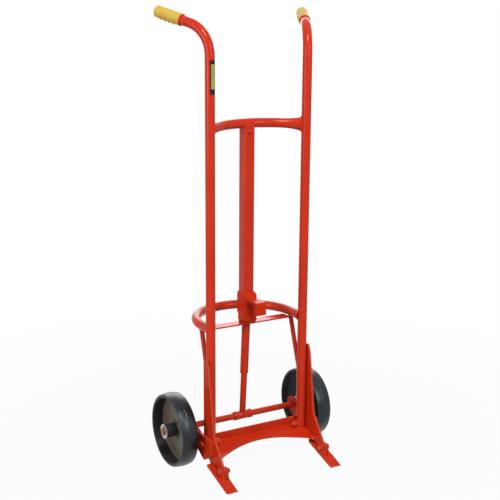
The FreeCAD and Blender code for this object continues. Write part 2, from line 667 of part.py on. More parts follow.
def nut(radius, flats, height, x_outer, y, z):
    """Hexagon nut along X whose outer face is at x_outer."""
    body = hexagon_x(flats, x_outer - height, x_outer, y, z)
    return body.cut(cylinder_x(radius + SEAT / 2, 0, 2 * x_outer, y, z))


def arm_pivot_bolt():
    """Bolt on which the right axle arm swings, through the arm, side plate and tube."""
    end = UPRIGHT_X - TUBE_R - SEAT - ARM_NUT_HEIGHT - ARM_BOLT_R
    return bolt(ARM_BOLT_R, end, ARM_X1 + RUN, 0, ARM_PIVOT_Z)


def arm_pivot_nut():
    """Nut of the arm pivot, on the inner side of the tube."""
    return nut(ARM_BOLT_R, ARM_NUT_FLATS, ARM_NUT_HEIGHT, UPRIGHT_X - TUBE_R - SEAT, 0, ARM_PIVOT_Z)


def arm_stop_pin():
    """Headed pin, riveted in the side plate, that stops the arm's swing."""
    y = -ARM_PIN_FRONT
    head = cylinder_x(2 * ARM_PIN_R, ARM_X1 + RUN, ARM_X1 + RUN + ARM_PIN_R, y, ARM_PIN_Z)
    head = head.makeFillet(ARM_PIN_R * 0.6, [e for e in head.Edges if e.CenterOfMass.x > ARM_X1 + RUN + 1
                                             and len(e.Vertexes) == 1])
    return cylinder_x(ARM_PIN_R, TOE_X0, ARM_X1 + RUN, y, ARM_PIN_Z).fuse(head).removeSplitter()


def prong_pivot_bolt():
    """Bolt on which the right prong swings."""
    head_at = TOE_X1 + EAR_GAP + EAR_THICKNESS + RUN
    end = TOE_X0 - EAR_GAP - EAR_THICKNESS - RUN - 2.2 * PRONG_BOLT_R
    return bolt(PRONG_BOLT_R, end, head_at, -PRONG_PIVOT_FRONT, PRONG_PIVOT_Z)


def prong_pivot_nut():
    """Nut of the prong pivot."""
    outer = TOE_X0 - EAR_GAP - EAR_THICKNESS - RUN
    height = 1.4 * HEX_HEIGHT * PRONG_BOLT_R
    return nut(PRONG_BOLT_R, HEX_FLATS * PRONG_BOLT_R, height, outer, -PRONG_PIVOT_FRONT, PRONG_PIVOT_Z)


def axle_arm():
    """Right axle arm: a thick plate from the upright's foot to the axle, with a boss."""
    low = math.atan2(WHEEL_R - ARM_LOBE_R * 0.9 - ARM_LOW_Z, AXLE_Y + ARM_LOW_FRONT)
    rear = AXLE_Y + ARM_LOBE_R * 0.75
    rear_low_z = ARM_LOW_Z + math.tan(low) * (rear + ARM_LOW_FRONT)
    plate = prism_x([
        (-ARM_FRONT, ARM_TOP_Z, ARM_ROUND), (AXLE_Y * 0.25, ARM_TOP_Z + 2, 40),
        (AXLE_Y * 0.85, WHEEL_R + ARM_LOBE_R + 3, 14), (rear, WHEEL_R + ARM_LOBE_R, 16),
        (rear, rear_low_z, 16),
        (-ARM_LOW_FRONT, ARM_LOW_Z, ARM_ROUND), (-ARM_TOE_FRONT, ARM_TOE_Z, ARM_ROUND),
        (-ARM_FRONT, ARM_FRONT_LOW_Z, ARM_ROUND)], ARM_X0, ARM_X1)
    boss = cylinder_x(ARM_BOSS_R, ARM_X1 - 1, ARM_X1 + ARM_BOSS_LENGTH, AXLE_Y, WHEEL_R)
    arm = plate.fuse(boss).removeSplitter()
    arm = arm.cut(cylinder_x(AXLE_R + SEAT, ARM_X0 - 1, ARM_X1 + 2 * ARM_BOSS_LENGTH, AXLE_Y, WHEEL_R))
    arm = arm.cut(cylinder_x(ARM_BOLT_R + FIT, ARM_X0 - 1, ARM_X1 + 1, 0, ARM_PIVOT_Z))
    return arm.cut(stop_slot())


def stop_slot():
    """Curved slot in the arm, centred on its pivot, in which the stop pin stands."""
    pin = vec(0, -ARM_PIN_FRONT, ARM_PIN_Z - ARM_PIVOT_Z)
    radius = pin.Length
    start = math.atan2(pin.z, pin.y)
    play = ARM_PIN_R + RUN
    rest = start + RUN / radius
    end = start - math.radians(ARM_SWING) - RUN / radius
    pivot = vec(ARM_X0 - 1, 0, ARM_PIVOT_Z)

    def at(distance, angle):
        return pivot + vec(0, distance * math.cos(angle), distance * math.sin(angle))

    middle = (rest + end) / 2
    far, near, turn = radius + play, radius - play, play / radius
    edges = [
        Part.Arc(at(far, rest), at(far, middle), at(far, end)).toShape(),
        Part.Arc(at(far, end), at(radius, end - turn), at(near, end)).toShape(),
        Part.Arc(at(near, end), at(near, middle), at(near, rest)).toShape(),
        Part.Arc(at(near, rest), at(radius, rest + turn), at(far, rest)).toShape(),
    ]
    return Part.Face(Part.Wire(edges)).extrude(vec(ARM_THICKNESS + 2, 0, 0))


def axle():
    """Round axle with a cross hole for a split pin near each end."""
    bar = cylinder_x(AXLE_R, -AXLE_X, AXLE_X, AXLE_Y, WHEEL_R)
    bar = bar.makeChamfer(1.0, [e for e in bar.Edges if len(e.Vertexes) == 1])
    for side in (-1, 1):
        x = side * cotter_x()
        bar = bar.cut(cylinder_between(vec(x, AXLE_Y, 0), vec(x, AXLE_Y, 2 * WHEEL_R), COTTER_R + SEAT / 2))
    return bar


def cotter_x():
    """Distance of the split pins from the middle of the trolley."""
    return WHEEL_OUTER_X + WASHER_THICKNESS + 2 * RUN + COTTER_R


def cotter_pin():
    """Right split pin: a stem through the axle, an eye above and a bent tail below."""
    x = cotter_x()
    top = WHEEL_R + AXLE_R + COTTER_R * 0.5
    low = WHEEL_R - AXLE_R - COTTER_R * 1.5
    stem = cylinder_between(vec(x, AXLE_Y, low), vec(x, AXLE_Y, top), COTTER_R)
    eye = Part.makeTorus(COTTER_R * 1.4, COTTER_R * 0.6, vec(x, AXLE_Y, top + COTTER_R * 1.2), vec(1, 0, 0))
    tail_z = low + COTTER_R * 0.7
    tail = cylinder_between(vec(x, AXLE_Y, tail_z), vec(x, AXLE_Y + AXLE_R, tail_z), COTTER_R * 0.6)
    return stem.fuse([eye, tail]).removeSplitter()


def washer(x0):
    """Plain washer on the axle whose inner face is at x0."""
    ring = cylinder_x(WASHER_R, x0, x0 + WASHER_THICKNESS, AXLE_Y, WHEEL_R)
    return ring.cut(cylinder_x(AXLE_R + SEAT, x0 - 1, x0 + WASHER_THICKNESS + 1, AXLE_Y, WHEEL_R))


def inner_washer():
    """Washer between the right arm's boss and the hub."""
    return washer(ARM_X1 + ARM_BOSS_LENGTH + RUN)


def outer_washer():
    """Washer between the right hub and its split pin."""
    return washer(WHEEL_OUTER_X + RUN)


def shaft_collar():
    """Right shaft collar beside the strut's sleeve."""
    x0 = SLEEVE_LENGTH / 2 + RUN
    ring = cylinder_x(COLLAR_R, x0, x0 + COLLAR_WIDTH, AXLE_Y, WHEEL_R)
    ring = ring.makeChamfer(1.0, [e for e in ring.Edges if len(e.Vertexes) == 1])
    ring = ring.cut(cylinder_x(AXLE_R + SEAT, x0 - 1, x0 + COLLAR_WIDTH + 1, AXLE_Y, WHEEL_R))
    x = x0 + COLLAR_WIDTH / 2
    hole = cylinder_between(vec(x, AXLE_Y, WHEEL_R), vec(x, AXLE_Y, 2 * WHEEL_R), SET_SCREW_R + SEAT)
    return ring.cut(hole)


def set_screw():
    """Set screw of the right collar, from the axle to just proud of the collar."""
    x = SLEEVE_LENGTH / 2 + RUN + COLLAR_WIDTH / 2
    start = vec(x, AXLE_Y, WHEEL_R + AXLE_R + SEAT)
    end = vec(x, AXLE_Y, WHEEL_R + COLLAR_R + 2)
    return cylinder_between(start, end, SET_SCREW_R)


def tyre():
    """Right tyre: a crowned tread moulded on the rim."""
    half = TYRE_WIDTH / 2
    seat = WHEEL_R - TYRE_DEPTH
    shoulder = WHEEL_R - TYRE_CROWN
    side = half - TYRE_SHOULDER * 0.7
    lean = math.sqrt(0.5) * TYRE_SHOULDER
    points = {
        "seat_l": vec(-RIM_WIDTH / 2, seat, 0), "seat_r": vec(RIM_WIDTH / 2, seat, 0),
        "wall_r": vec(half, seat + 3, 0), "wall_l": vec(-half, seat + 3, 0),
        "high_r": vec(half, shoulder - TYRE_SHOULDER, 0), "high_l": vec(-half, shoulder - TYRE_SHOULDER, 0),
        "turn_r": vec(side, shoulder, 0), "turn_l": vec(-side, shoulder, 0),
    }
    bulge_r = vec(half - TYRE_SHOULDER * 0.18, shoulder - TYRE_SHOULDER + lean * 0.85, 0)
    bulge_l = vec(-bulge_r.x, bulge_r.y, 0)
    wire = Part.Wire([
        Part.makeLine(points["seat_l"], points["seat_r"]),
        Part.makeLine(points["seat_r"], points["wall_r"]),
        Part.makeLine(points["wall_r"], points["high_r"]),
        Part.Arc(points["high_r"], bulge_r, points["turn_r"]).toShape(),
        Part.Arc(points["turn_r"], vec(0, WHEEL_R, 0), points["turn_l"]).toShape(),
        Part.Arc(points["turn_l"], bulge_l, points["high_l"]).toShape(),
        Part.makeLine(points["high_l"], points["wall_l"]),
        Part.makeLine(points["wall_l"], points["seat_l"]),
    ])
    return revolve_x(wire, WHEEL_X - TYRE_INSET, AXLE_Y, WHEEL_R)


def bearing_bore():
    """Radius of the hub's bore round the rollers."""
    return AXLE_R + 2 * ROLLER_R + 2 * RUN


def wheel_centre():
    """Right wheel centre: hub, inset web and rim turned as one."""
    outer = WHEEL_R - TYRE_DEPTH - SEAT / 2
    inner = outer - RIM_THICKNESS
    rim = RIM_WIDTH / 2
    bore = bearing_bore()
    slope = 4.0

    def face(way):
        """Outline from the bore to the rim on the outer (1) or inner (-1) side."""
        web = WEB_THICKNESS / 2 - way * WEB_INSET
        hub = HUB_LENGTH / 2 + way * TYRE_INSET
        line = [(hub, bore), (hub, HUB_R - 1.5), (hub - 1.5, HUB_R), (web + 2 * slope, HUB_R),
                (web + slope, HUB_R + slope), (web, HUB_R + 3 * slope), (web, inner - 2 * slope),
                (web + slope, inner - slope * 0.5), (rim, inner + 1.5)]
        return [vec(way * x, r, 0) for x, r in line]

    points = face(1) + [vec(rim, outer, 0), vec(-rim, outer, 0)] + face(-1)[::-1]
    wire = Part.Wire(Part.makePolygon(points + points[:1]))
    return revolve_x(wire, WHEEL_X - TYRE_INSET, AXLE_Y, WHEEL_R)


def roller_bearing():
    """Right roller bearing: rollers between two rings, round the axle."""
    pitch = AXLE_R + RUN + ROLLER_R
    x0 = WHEEL_INNER_X + BEARING_RING + RUN
    x1 = WHEEL_OUTER_X - BEARING_RING - RUN
    solids = []
    for k in range(ROLLERS):
        angle = 2 * math.pi * k / ROLLERS
        y, z = AXLE_Y + pitch * math.cos(angle), WHEEL_R + pitch * math.sin(angle)
        solids.append(cylinder_x(ROLLER_R, x0, x1, y, z))
    for start in (WHEEL_INNER_X, WHEEL_OUTER_X - BEARING_RING):
        ring = cylinder_x(bearing_bore() - SEAT, start, start + BEARING_RING, AXLE_Y, WHEEL_R)
        bore = cylinder_x(AXLE_R + FIT, start - 1, start + 2 * BEARING_RING, AXLE_Y, WHEEL_R)
        solids.append(ring.cut(bore))
    return Part.makeCompound(solids)


def strut_axis():
    """Top pivot of the strut, and its direction down to the axle."""
    top = vec(0, POST_Y, STRUT_PIN_Z)
    foot = vec(0, AXLE_Y, WHEEL_R)
    return top, foot, (foot - top).normalize()


def on_strut(z):
    """Point of the strut's axis at a height."""
    top, _, down = strut_axis()
    return top + down * ((z - top.z) / down.z)


def strut_tube():
    """Upper tube of the strut, which hangs from the tongue on its pin."""
    start = on_strut(STRIP_LOW_Z - STRUT_TOP_GAP)
    end = on_strut(STRUT_STEP_Z)
    tube = cylinder_between(start, end, STRUT_OD / 2)
    tube = tube.cut(cylinder_between(start, end, STRUT_ROD_R + RUN))
    return tube.cut(cylinder_x(STRUT_PIN_R + FIT, -STRUT_OD, STRUT_OD, POST_Y, STRUT_PIN_Z))


def strut_pin():
    """Riveted pin that holds the strut tube on its tongue."""
    reach = STRUT_OD / 2 + STRUT_PIN_END
    pin = cylinder_x(STRUT_PIN_R, -reach, reach, POST_Y, STRUT_PIN_Z)
    return pin.makeChamfer(STRUT_PIN_END * 0.6, [e for e in pin.Edges if len(e.Vertexes) == 1])


def strut_spring_seat():
    """Disc fixed in the strut tube, on which the spring bears."""
    _, _, down = strut_axis()
    start = on_strut(SPRING_SEAT_Z)
    return cylinder_between(start, start + down * SPRING_SEAT_THICKNESS, STRUT_ROD_R + RUN - SEAT)


def strut_rod():
    """Rod that slides in the strut tube."""
    _, foot, down = strut_axis()
    rod = cylinder_between(on_strut(STRUT_ROD_TOP_Z), foot, STRUT_ROD_R)
    rims = [e for e in rod.Edges if len(e.Vertexes) == 1 and e.CenterOfMass.z > WHEEL_R + 1]
    rod = rod.makeChamfer(1.0, rims)
    return rod.cut(cylinder_x(SLEEVE_R + SEAT, -STRUT_OD, STRUT_OD, AXLE_Y, WHEEL_R))


def axle_sleeve():
    """Sleeve at the foot of the strut, round the axle between the collars."""
    half = SLEEVE_LENGTH / 2
    sleeve = cylinder_x(SLEEVE_R, -half, half, AXLE_Y, WHEEL_R)
    return sleeve.cut(cylinder_x(AXLE_R + SLEEVE_GAP, -half - 1, half + 1, AXLE_Y, WHEEL_R))


def tangent_arc(start, heading, end):
    """Arc from a point with a given heading to another point."""
    chord = end - start
    along = chord * (1 / chord.Length)
    side = heading - along * heading.dot(along)
    turn = math.acos(max(-1.0, min(1.0, heading.dot(along))))
    rise = chord.Length / 2 * math.tan(turn / 2)
    return Part.Arc(start, (start + end) * 0.5 + side.normalize() * rise, end).toShape()


def biarc(start, heading, end, leaving):
    """Two arcs, tangent to each other, between two points with given headings."""
    chord = end - start
    both = heading + leaving
    bend = 2 * (1 - heading.dot(leaving))
    reach = (math.sqrt(chord.dot(both) ** 2 + bend * chord.dot(chord)) - chord.dot(both)) / bend
    joint = (start + end + (heading - leaving) * reach) * 0.5
    passing = (end - leaving * reach) - (start + heading * reach)
    return [tangent_arc(start, heading, joint), tangent_arc(joint, passing.normalize(), end)]


def strut_spring():
    """Compression spring between the seat and the rod, its turns one wire of biarcs."""
    _, _, down = strut_axis()
    low = on_strut(STRUT_ROD_TOP_Z) - down * (SPRING_WIRE_R + RUN)
    high = on_strut(SPRING_SEAT_Z) + down * (SPRING_SEAT_THICKNESS + SPRING_WIRE_R + RUN)
    pitch = (high - low).Length / SPRING_TURNS

    def at(turn):
        angle = 2 * math.pi * turn
        point = vec(SPRING_R * math.cos(angle), SPRING_R * math.sin(angle), pitch * turn)
        heading = vec(-SPRING_R * math.sin(angle), SPRING_R * math.cos(angle), pitch / (2 * math.pi))
        return point, heading.normalize()

    edges = []
    for k in range(4 * SPRING_TURNS):
        edges += biarc(*at(k / 4), *at((k + 1) / 4))
    spring = round_bar(edges, SPRING_WIRE_R)
    line = [edge.valueAt(edge.FirstParameter) for edge in edges]
    apart = min((a - b).Length for i, a in enumerate(line) for b in line[i + 5:])
    print("spring: least gap between turns %.2f mm" % (apart - 2 * SPRING_WIRE_R))
    spring.Placement = Placement(low, Rotation(Vector(0, 0, 1), down * -1))
    return spring


def write(name, shape):
    """Move a piece to the middle of the depth and write it."""
    piece = shape.copy()
    piece.translate(vec(0, -MID_DEPTH, 0))
    piece.exportStep("parts/" + name + ".step")


def main():
    """Build every piece and write it under its own name."""
    os.makedirs("parts", exist_ok=True)
    pairs = {
        "upright": upright(), "grip": grip(), "brace": brace(), "toe_plate": toe_plate(), "prong": prong(),
        "axle_arm": axle_arm(), "tyre": tyre(), "wheel_centre": wheel_centre(),
        "roller_bearing": roller_bearing(),
    }
    for name, shape in pairs.items():
        write("right_" + name, shape)
        write("left_" + name, mirrored(shape))
    singles = {
        "top_crossbar": top_crossbar(), "lower_ring": lower_ring(), "tie_strip": tie_strip(),
        "centre_post": centre_post(), "post_stop": post_stop(), "chime_hook": chime_hook(),
        "nose_plate": nose_plate(), "axle": axle(), "strut_tube": strut_tube(), "strut_pin": strut_pin(),
        "strut_spring_seat": strut_spring_seat(), "strut_spring": strut_spring(), "strut_rod": strut_rod(),
        "axle_sleeve": axle_sleeve(),
    }
    for name, shape in singles.items():
        write(name, shape)
    groups = {
        "arm_pivot_bolts": arm_pivot_bolt(), "arm_pivot_nuts": arm_pivot_nut(),
        "arm_stop_pins": arm_stop_pin(), "prong_pivot_bolts": prong_pivot_bolt(),
        "prong_pivot_nuts": prong_pivot_nut(),
        "cotter_pins": cotter_pin(), "inner_washers": inner_washer(), "outer_washers": outer_washer(),
        "shaft_collars": shaft_collar(), "set_screws": set_screw(),
    }
    for name, shape in groups.items():
        write(name, both_sides(shape))


main()
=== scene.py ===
"""Looks of a two-wheeled drum trolley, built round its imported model.

The trolley is dressed one sub-assembly at a time. Lengths in the sub-assemblies are millimetres
in the frame of the uprights: X across the trolley, Y rearwards from the uprights, Z up from the
floor. Layout.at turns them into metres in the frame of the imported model. Lengths in the finishes
and in the studio are metres.
"""

import json
import logging
from dataclasses import dataclass, field, replace
from enum import Enum
from math import asin, cos, exp, pi, radians, sin, sqrt
from typing import Callable, Sequence

import bmesh
import bpy
from mathutils import Matrix, Vector


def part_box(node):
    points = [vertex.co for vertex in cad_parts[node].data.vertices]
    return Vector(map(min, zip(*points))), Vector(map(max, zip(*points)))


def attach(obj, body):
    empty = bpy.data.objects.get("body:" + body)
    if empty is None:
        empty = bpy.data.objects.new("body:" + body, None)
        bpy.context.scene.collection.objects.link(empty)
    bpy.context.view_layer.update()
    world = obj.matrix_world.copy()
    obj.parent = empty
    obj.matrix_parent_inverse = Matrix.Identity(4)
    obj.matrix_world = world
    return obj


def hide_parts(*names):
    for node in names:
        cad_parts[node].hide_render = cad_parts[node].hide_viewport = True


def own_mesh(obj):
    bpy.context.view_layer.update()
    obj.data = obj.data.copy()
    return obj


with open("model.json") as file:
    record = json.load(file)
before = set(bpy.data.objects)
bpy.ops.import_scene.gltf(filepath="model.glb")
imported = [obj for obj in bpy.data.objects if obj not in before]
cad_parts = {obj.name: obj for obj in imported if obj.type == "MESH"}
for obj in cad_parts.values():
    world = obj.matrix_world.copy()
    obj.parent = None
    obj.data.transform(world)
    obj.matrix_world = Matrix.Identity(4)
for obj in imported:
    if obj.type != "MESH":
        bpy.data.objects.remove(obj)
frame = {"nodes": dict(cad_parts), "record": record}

LOG = logging.getLogger("drum_trolley")
MM = 0.001
SEAM_MERGE = 0.00001
ROUNDED_FROM = radians(38)
SWEEP_SIDES = 10
ACROSS = Vector((1.0, 0.0, 0.0))
UP = Vector((0.0, 0.0, 1.0))
WHITE = (1.0, 1.0, 1.0, 1.0)
Span = tuple[float, float]
Triple = tuple[float, float, float]
Path = Sequence[Vector]
Radius = Callable[[float], float]
Material = bpy.types.Material
Socket = bpy.types.NodeSocket
Tree = bpy.types.NodeTree


class Side(Enum):
    """The two sides of the trolley, with the sign of X on each."""

    LEFT = -1
    RIGHT = 1

    @property
    def word(self) -> str:
        """The side's name as the nodes use it."""
        return self.name.lower()


class Slot(Enum):
    """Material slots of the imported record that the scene's own pieces use."""

    RED = "red_paint"
    YELLOW = "yellow_vinyl"
    RUBBER = "black_rubber"
    SPRING = "spring_steel"


@dataclass(frozen=True)
class Layout:
    """Places and sizes that several sub-assemblies share."""

    depth_shift: float = 34.15
    seat: float = 0.1
    upright_x: float = 179.0
    tube_r: float = 15.875
    bend_start_z: float = 1374.0
    bend_r: float = 100.0
    bend_angle: float = 74.5
    splay: float = 26.9
    bow_z: float = 1148.5
    bow_rise: float = 5.5
    bow_depth: float = 79.0
    ring_r: float = 15.875
    ring_z: float = 492.0
    ring_x: float = 175.0
    toe_x0: float = 194.975
    nose_fold_z: float = 90.0
    nose_slope: float = 0.33
    axle_y: float = 101.0
    axle_r: float = 11.0
    wheel_r: float = 127.0
    wheel_x: float = 265.875

    def at(self, x: float, y: float, z: float) -> Vector:
        """Turn a place in millimetres in the uprights' frame into metres in the model's."""
        return Vector((x, y - self.depth_shift, z)) * MM

    def nose_top(self, y: float) -> float:
        """Height of the nose plate's upper face between its fold and its lip."""
        return self.nose_fold_z + self.nose_slope * (y - self.tube_r - self.seat)


LAYOUT = Layout()


def show(name: str, data: bpy.types.ID) -> bpy.types.Object:
    """Put a mesh, lamp or camera into the scene.

    Args:
        name: Name of the new object.
        data: What it shows.

    Returns:
        The object.
    """
    obj = bpy.data.objects.new(name, data)
    bpy.context.scene.collection.objects.link(obj)
    return obj


class Shaper:
    """Builds the mesh of one of the trolley's own pieces."""

    def __init__(self) -> None:
        """Start with an empty mesh."""
        self.bm = bmesh.new()

    def skin(self, rings: Sequence[Path], closed: bool = False) -> None:
        """Join a row of rings of equal count with faces.

        Args:
            rings: Rings of points, each with the same count.
            closed: Whether the last ring joins the first; if not, both ends are capped.
        """
        rows = [[self.bm.verts.new(p) for p in ring] for ring in rings]
        count = len(rows[0])
        pairs = list(zip(rows, rows[1:])) + ([(rows[-1], rows[0])] if closed else [])
        for low, high in pairs:
            for k in range(count):
                n = (k + 1) % count
                self.bm.faces.new((low[k], low[n], high[n], high[k]))
        if not closed:
            self.bm.faces.new(list(reversed(rows[0])))
            self.bm.faces.new(rows[-1])

    @staticmethod
    def ring(centre: Vector, u: Vector, v: Vector, radius: Radius, count: int) -> list[Vector]:
        """Points round a centre in the plane of u and v, by a radius at each angle."""
        turns = [2 * pi * k / count for k in range(count)]
        return [centre + u * (radius(a) * cos(a)) + v * (radius(a) * sin(a)) for a in turns]

    def sweep(self, path: Path, radii: Sequence[float], closed: bool = False) -> None:
        """Sweep a round section along a path without twisting it.

        Args:
            path: Points of the centreline.
            radii: Radius of the section at each point.
            closed: Whether the path is a loop.
        """
        count = len(path)
        rings = []
        normal = None
        for i, (here, r) in enumerate(zip(path, radii)):
            before = path[i - 1] if closed or i else here
            after = path[(i + 1) % count] if closed or i < count - 1 else here
            along = (after - before).normalized()
            if normal is None:
                normal = along.orthogonal().normalized()
            normal = (normal - along * normal.dot(along)).normalized()
            across = along.cross(normal)
            rings.append(self.ring(here, normal, across, lambda turn: r, SWEEP_SIDES))
        self.skin(rings, closed=closed)

    def turn(self, profile: Sequence[Span], centre: Vector, steps: int,
             closed: bool = True) -> None:
        """Turn a profile of (distance along, radius) points about an axis along X.

        Args:
            profile: Points in millimetres.
            centre: Origin of the axis, in metres in the model's frame.
            steps: Points round the axis.
            closed: Whether the profile is a loop, as that of a ring is.
        """
        u = ACROSS.orthogonal().normalized()
        v = ACROSS.cross(u)
        rings = [self.ring(centre + ACROSS * (distance * MM), u, v, lambda turn: r * MM, steps)
                 for distance, r in profile]
        self.skin(rings, closed=closed)

    def solid(self, name: str, material: Material) -> bpy.types.Object:
        """Put the finished mesh into the scene.

        Args:
            name: Name of the new object.
            material: Its finish.

        Returns:
            The object.
        """
        mesh = bpy.data.meshes.new(name)
        self.bm.to_mesh(mesh)
        self.bm.free()
        mesh.materials.append(material)
        return show(name, mesh)

    def piece(self, name: str, body: str, slot: Slot, material: Material,
              sharp: float = 40.0) -> bpy.types.Object:
        """Turn the finished mesh into a piece that rides on a body.

        Args:
            name: Name of the piece.
            body: Body that carries it.
            slot: Material slot of the record; not used.
            material: Its finish.
            sharp: Angle in degrees from which an edge stays hard.

        Returns:
            The new object.
        """
        bmesh.ops.recalc_face_normals(self.bm, faces=self.bm.faces)
        for face in self.bm.faces:
            face.smooth = True
        for edge in self.bm.edges:
            hard = len(edge.link_faces) == 2 and edge.calc_face_angle(0.0) >= radians(sharp)
            edge.smooth = not hard
        obj = self.solid(name, material)
        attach(obj, body)
        LOG.info("piece %s rides on %s", name, body)
        return obj


class Graph:
    """Places and joins shader nodes in one tree."""

    def __init__(self, tree: Tree) -> None:
        """Start on the tree of a material, world or group."""
        self.tree = tree

    def add(self, kind: str, settings: dict | None = None, **inputs: object) -> bpy.types.Node:
        """Place a node.

        Args:
            kind: Node type without its ShaderNode prefix.
            settings: Node properties by name.
            inputs: Values or sockets to link, by the input's name with _ for a space, or by i
                and its number.

        Returns:
            The node.
        """
        node = self.tree.nodes.new(kind if kind.startswith("Node") else "ShaderNode" + kind)
        for key, value in (settings or {}).items():
            setattr(node, key, value)
        for key, value in inputs.items():
            numbered = key[0] == "i" and key[1:].isdigit()
            self.put(node.inputs[int(key[1:]) if numbered else key.replace("_", " ")], value)
        return node

    def put(self, socket: Socket, value: object) -> None:
        """Link a socket or set its value.

        Args:
            socket: Input socket.
            value: Output socket to link, or a plain value.
        """
        if isinstance(value, Socket):
            self.tree.links.new(value, socket)
        else:
            socket.default_value = value

    def group(self, tree: Tree, **values: float) -> Sequence[Socket]:
        """Outputs of a node group that is placed with its own values."""
        return self.add("Group", {"node_tree": tree}, **values).outputs

    def math(self, operation: str, a: object, b: object = 0.0, clamp: bool = False) -> Socket:
        """Result of a math node on one or two values."""
        return self.add("Math", {"operation": operation, "use_clamp": clamp}, i0=a, i1=b).outputs[0]

    def vector(self, operation: str, a: object, b: object = (0.0, 0.0, 0.0)) -> bpy.types.Node:
        """A vector math node on one or two vectors."""
        return self.add("VectorMath", {"operation": operation}, i0=a, i1=b)

    def blend(self, share: object, a: object, b: object) -> Socket:
        """Mix two colours.

        Args:
            share: Share of the second one.
            a: First colour.
            b: Second colour.

        Returns:
            The mixed colour.
        """
        node = self.add("Mix", {"data_type": "RGBA", "blend_type": "MIX"})
        for index, value in ((0, share), (6, a), (7, b)):
            self.put(node.inputs[index], (*value, 1.0) if isinstance(value, tuple) else value)
        return node.outputs[2]

    def ramp(self, value: object, low: object, high: object, start: float = 0.0) -> Socket:
        """Value mapped smoothly from low to high onto start to 1."""
        return self.add("MapRange", {"interpolation_type": "SMOOTHSTEP"}, Value=value,
                        From_Min=low, From_Max=high, To_Min=start, To_Max=1.0).outputs[0]

    def place(self) -> Socket:
        """Object coordinates of the shaded point."""
        return self.add("TexCoord").outputs["Object"]

    def sideways(self) -> Socket:
        """Distance of the shaded point from the trolley's middle plane."""
        return self.math("ABSOLUTE", self.add("SeparateXYZ", i0=self.place()).outputs["X"])

    def noise(self, scale: object, detail: float, roughness: float) -> Socket:
        """Noise over the object coordinates."""
        return self.add("TexNoise", Vector=self.place(), Scale=scale, Detail=detail,
                        Roughness=roughness).outputs[0]

    def seen(self) -> Socket:
        """Tell the rays that see a surface from those that only light one.

        Returns:
            1 on rays from the camera, from reflections and through clear things, else 0.
        """
        rays = self.add("LightPath").outputs
        seen = self.math("MAXIMUM", rays["Is Camera Ray"], rays["Is Glossy Ray"])
        return self.math("MAXIMUM", seen, rays["Is Transmission Ray"])


class Effects:
    """Node groups that the finishes use, each built once."""

    def __init__(self) -> None:
        """Build every group."""
        self.peel = self._peel()
        self.wear_and_highlight = self._wear_and_highlight()
        self.dust = self._dust()
        self.smudge = self._smudge()
        self.ends = self._ends()

    @staticmethod
    def _start(name: str, inputs: Sequence[str],
               outputs: Sequence[str]) -> tuple[Graph, Sequence[Socket], Sequence[Socket]]:
        """Open a group with float sockets.

        Args:
            name: Name of the group.
            inputs: Input names.
            outputs: Output names.

        Returns:
            The group's graph, the sockets that it is given and those that it gives.
        """
        tree = bpy.data.node_groups.new(name, "ShaderNodeTree")
        for way, labels in (("INPUT", inputs), ("OUTPUT", outputs)):
            for label in labels:
                tree.interface.new_socket(label, in_out=way, socket_type="NodeSocketFloat")
        g = Graph(tree)
        return g, g.add("NodeGroupInput").outputs, g.add("NodeGroupOutput").inputs

    def _peel(self) -> Tree:
        """Orange peel of sprayed paint, with a slow drift of tone.

        Returns:
            The group.
        """
        g, given, out = self._start("orange_peel", ("Scale", "Drift"), ("Height", "Tone"))
        g.put(out["Height"], g.noise(given["Scale"], 1.5, 0.4))
        g.put(out["Tone"], g.ramp(g.noise(given["Drift"], 3.0, 0.6), 0.3, 0.7))
        return g.tree

    def _wear_and_highlight(self) -> Tree:
        """Edges in a lighter colour, broken up by noise: a rubbed, thin finish, and on the tubes
        and plates partly a painted highlight.

        Returns:
            The group.
        """
        g, given, out = self._start("edge_wear_and_highlight", ("Radius", "Reach"), ("Mask",))
        rounded = g.add("Bevel", {"samples": 6}, Radius=given["Radius"]).outputs[0]
        facing = g.add("NewGeometry").outputs["Normal"]
        turned = g.vector("DOT_PRODUCT", rounded, facing).outputs["Value"]
        edge = g.ramp(g.math("SUBTRACT", 1.0, turned), 0.005, 0.12)
        limit = g.math("MULTIPLY", g.math("SUBTRACT", 1.0, given["Reach"]), 0.6)
        broken = g.ramp(g.math("SUBTRACT", g.noise(160.0, 4.0, 0.65), limit), 0.1, 0.3)
        g.put(out["Mask"], g.math("MULTIPLY", edge, broken, clamp=True))
        return g.tree

    def _dust(self) -> Tree:
        """Fine dust that settles on faces that look up, thicker near the floor.

        Returns:
            The group.
        """
        g, given, out = self._start("shop_dust", ("Amount", "Fade"), ("Mask",))
        up = g.add("SeparateXYZ", i0=g.add("NewGeometry").outputs["Normal"]).outputs["Z"]
        height = g.add("SeparateXYZ", i0=g.place()).outputs["Z"]
        low = g.math("SUBTRACT", 1.0, g.math("DIVIDE", height, given["Fade"]), clamp=True)
        spread = g.ramp(g.noise(70.0, 6.0, 0.7), 0.35, 0.75)
        lying = g.math("MULTIPLY", g.math("MULTIPLY", g.ramp(up, -0.2, 0.9), spread), low)
        g.put(out["Mask"], g.math("MULTIPLY", lying, given["Amount"], clamp=True))
        return g.tree

    def _smudge(self) -> Tree:
        """Gloss that varies with handling: a roughness between two values.

        Returns:
            The group.
        """
        g, given, out = self._start("gloss_break", ("Low", "High", "Scale"), ("Roughness",))
        span = g.math("SUBTRACT", given["High"], given["Low"])
        share = g.math("MULTIPLY", g.ramp(g.noise(given["Scale"], 5.0, 0.6), 0.3, 0.75), span)
        g.put(out["Roughness"], g.math("ADD", given["Low"], share))
        return g.tree

    def _ends(self) -> Tree:
        """Both ends of a bar that lies across the trolley, rubbed in patches.

        Returns:
            The group.
        """
        g, given, out = self._start("rubbed_ends", ("Start", "End"), ("Mask",))
        past = g.ramp(g.sideways(), given["Start"], given["End"])
        patches = g.group(self.smudge, Low=0.6, High=1.0, Scale=220.0)["Roughness"]
        g.put(out["Mask"], g.math("MULTIPLY", past, patches))
        return g.tree


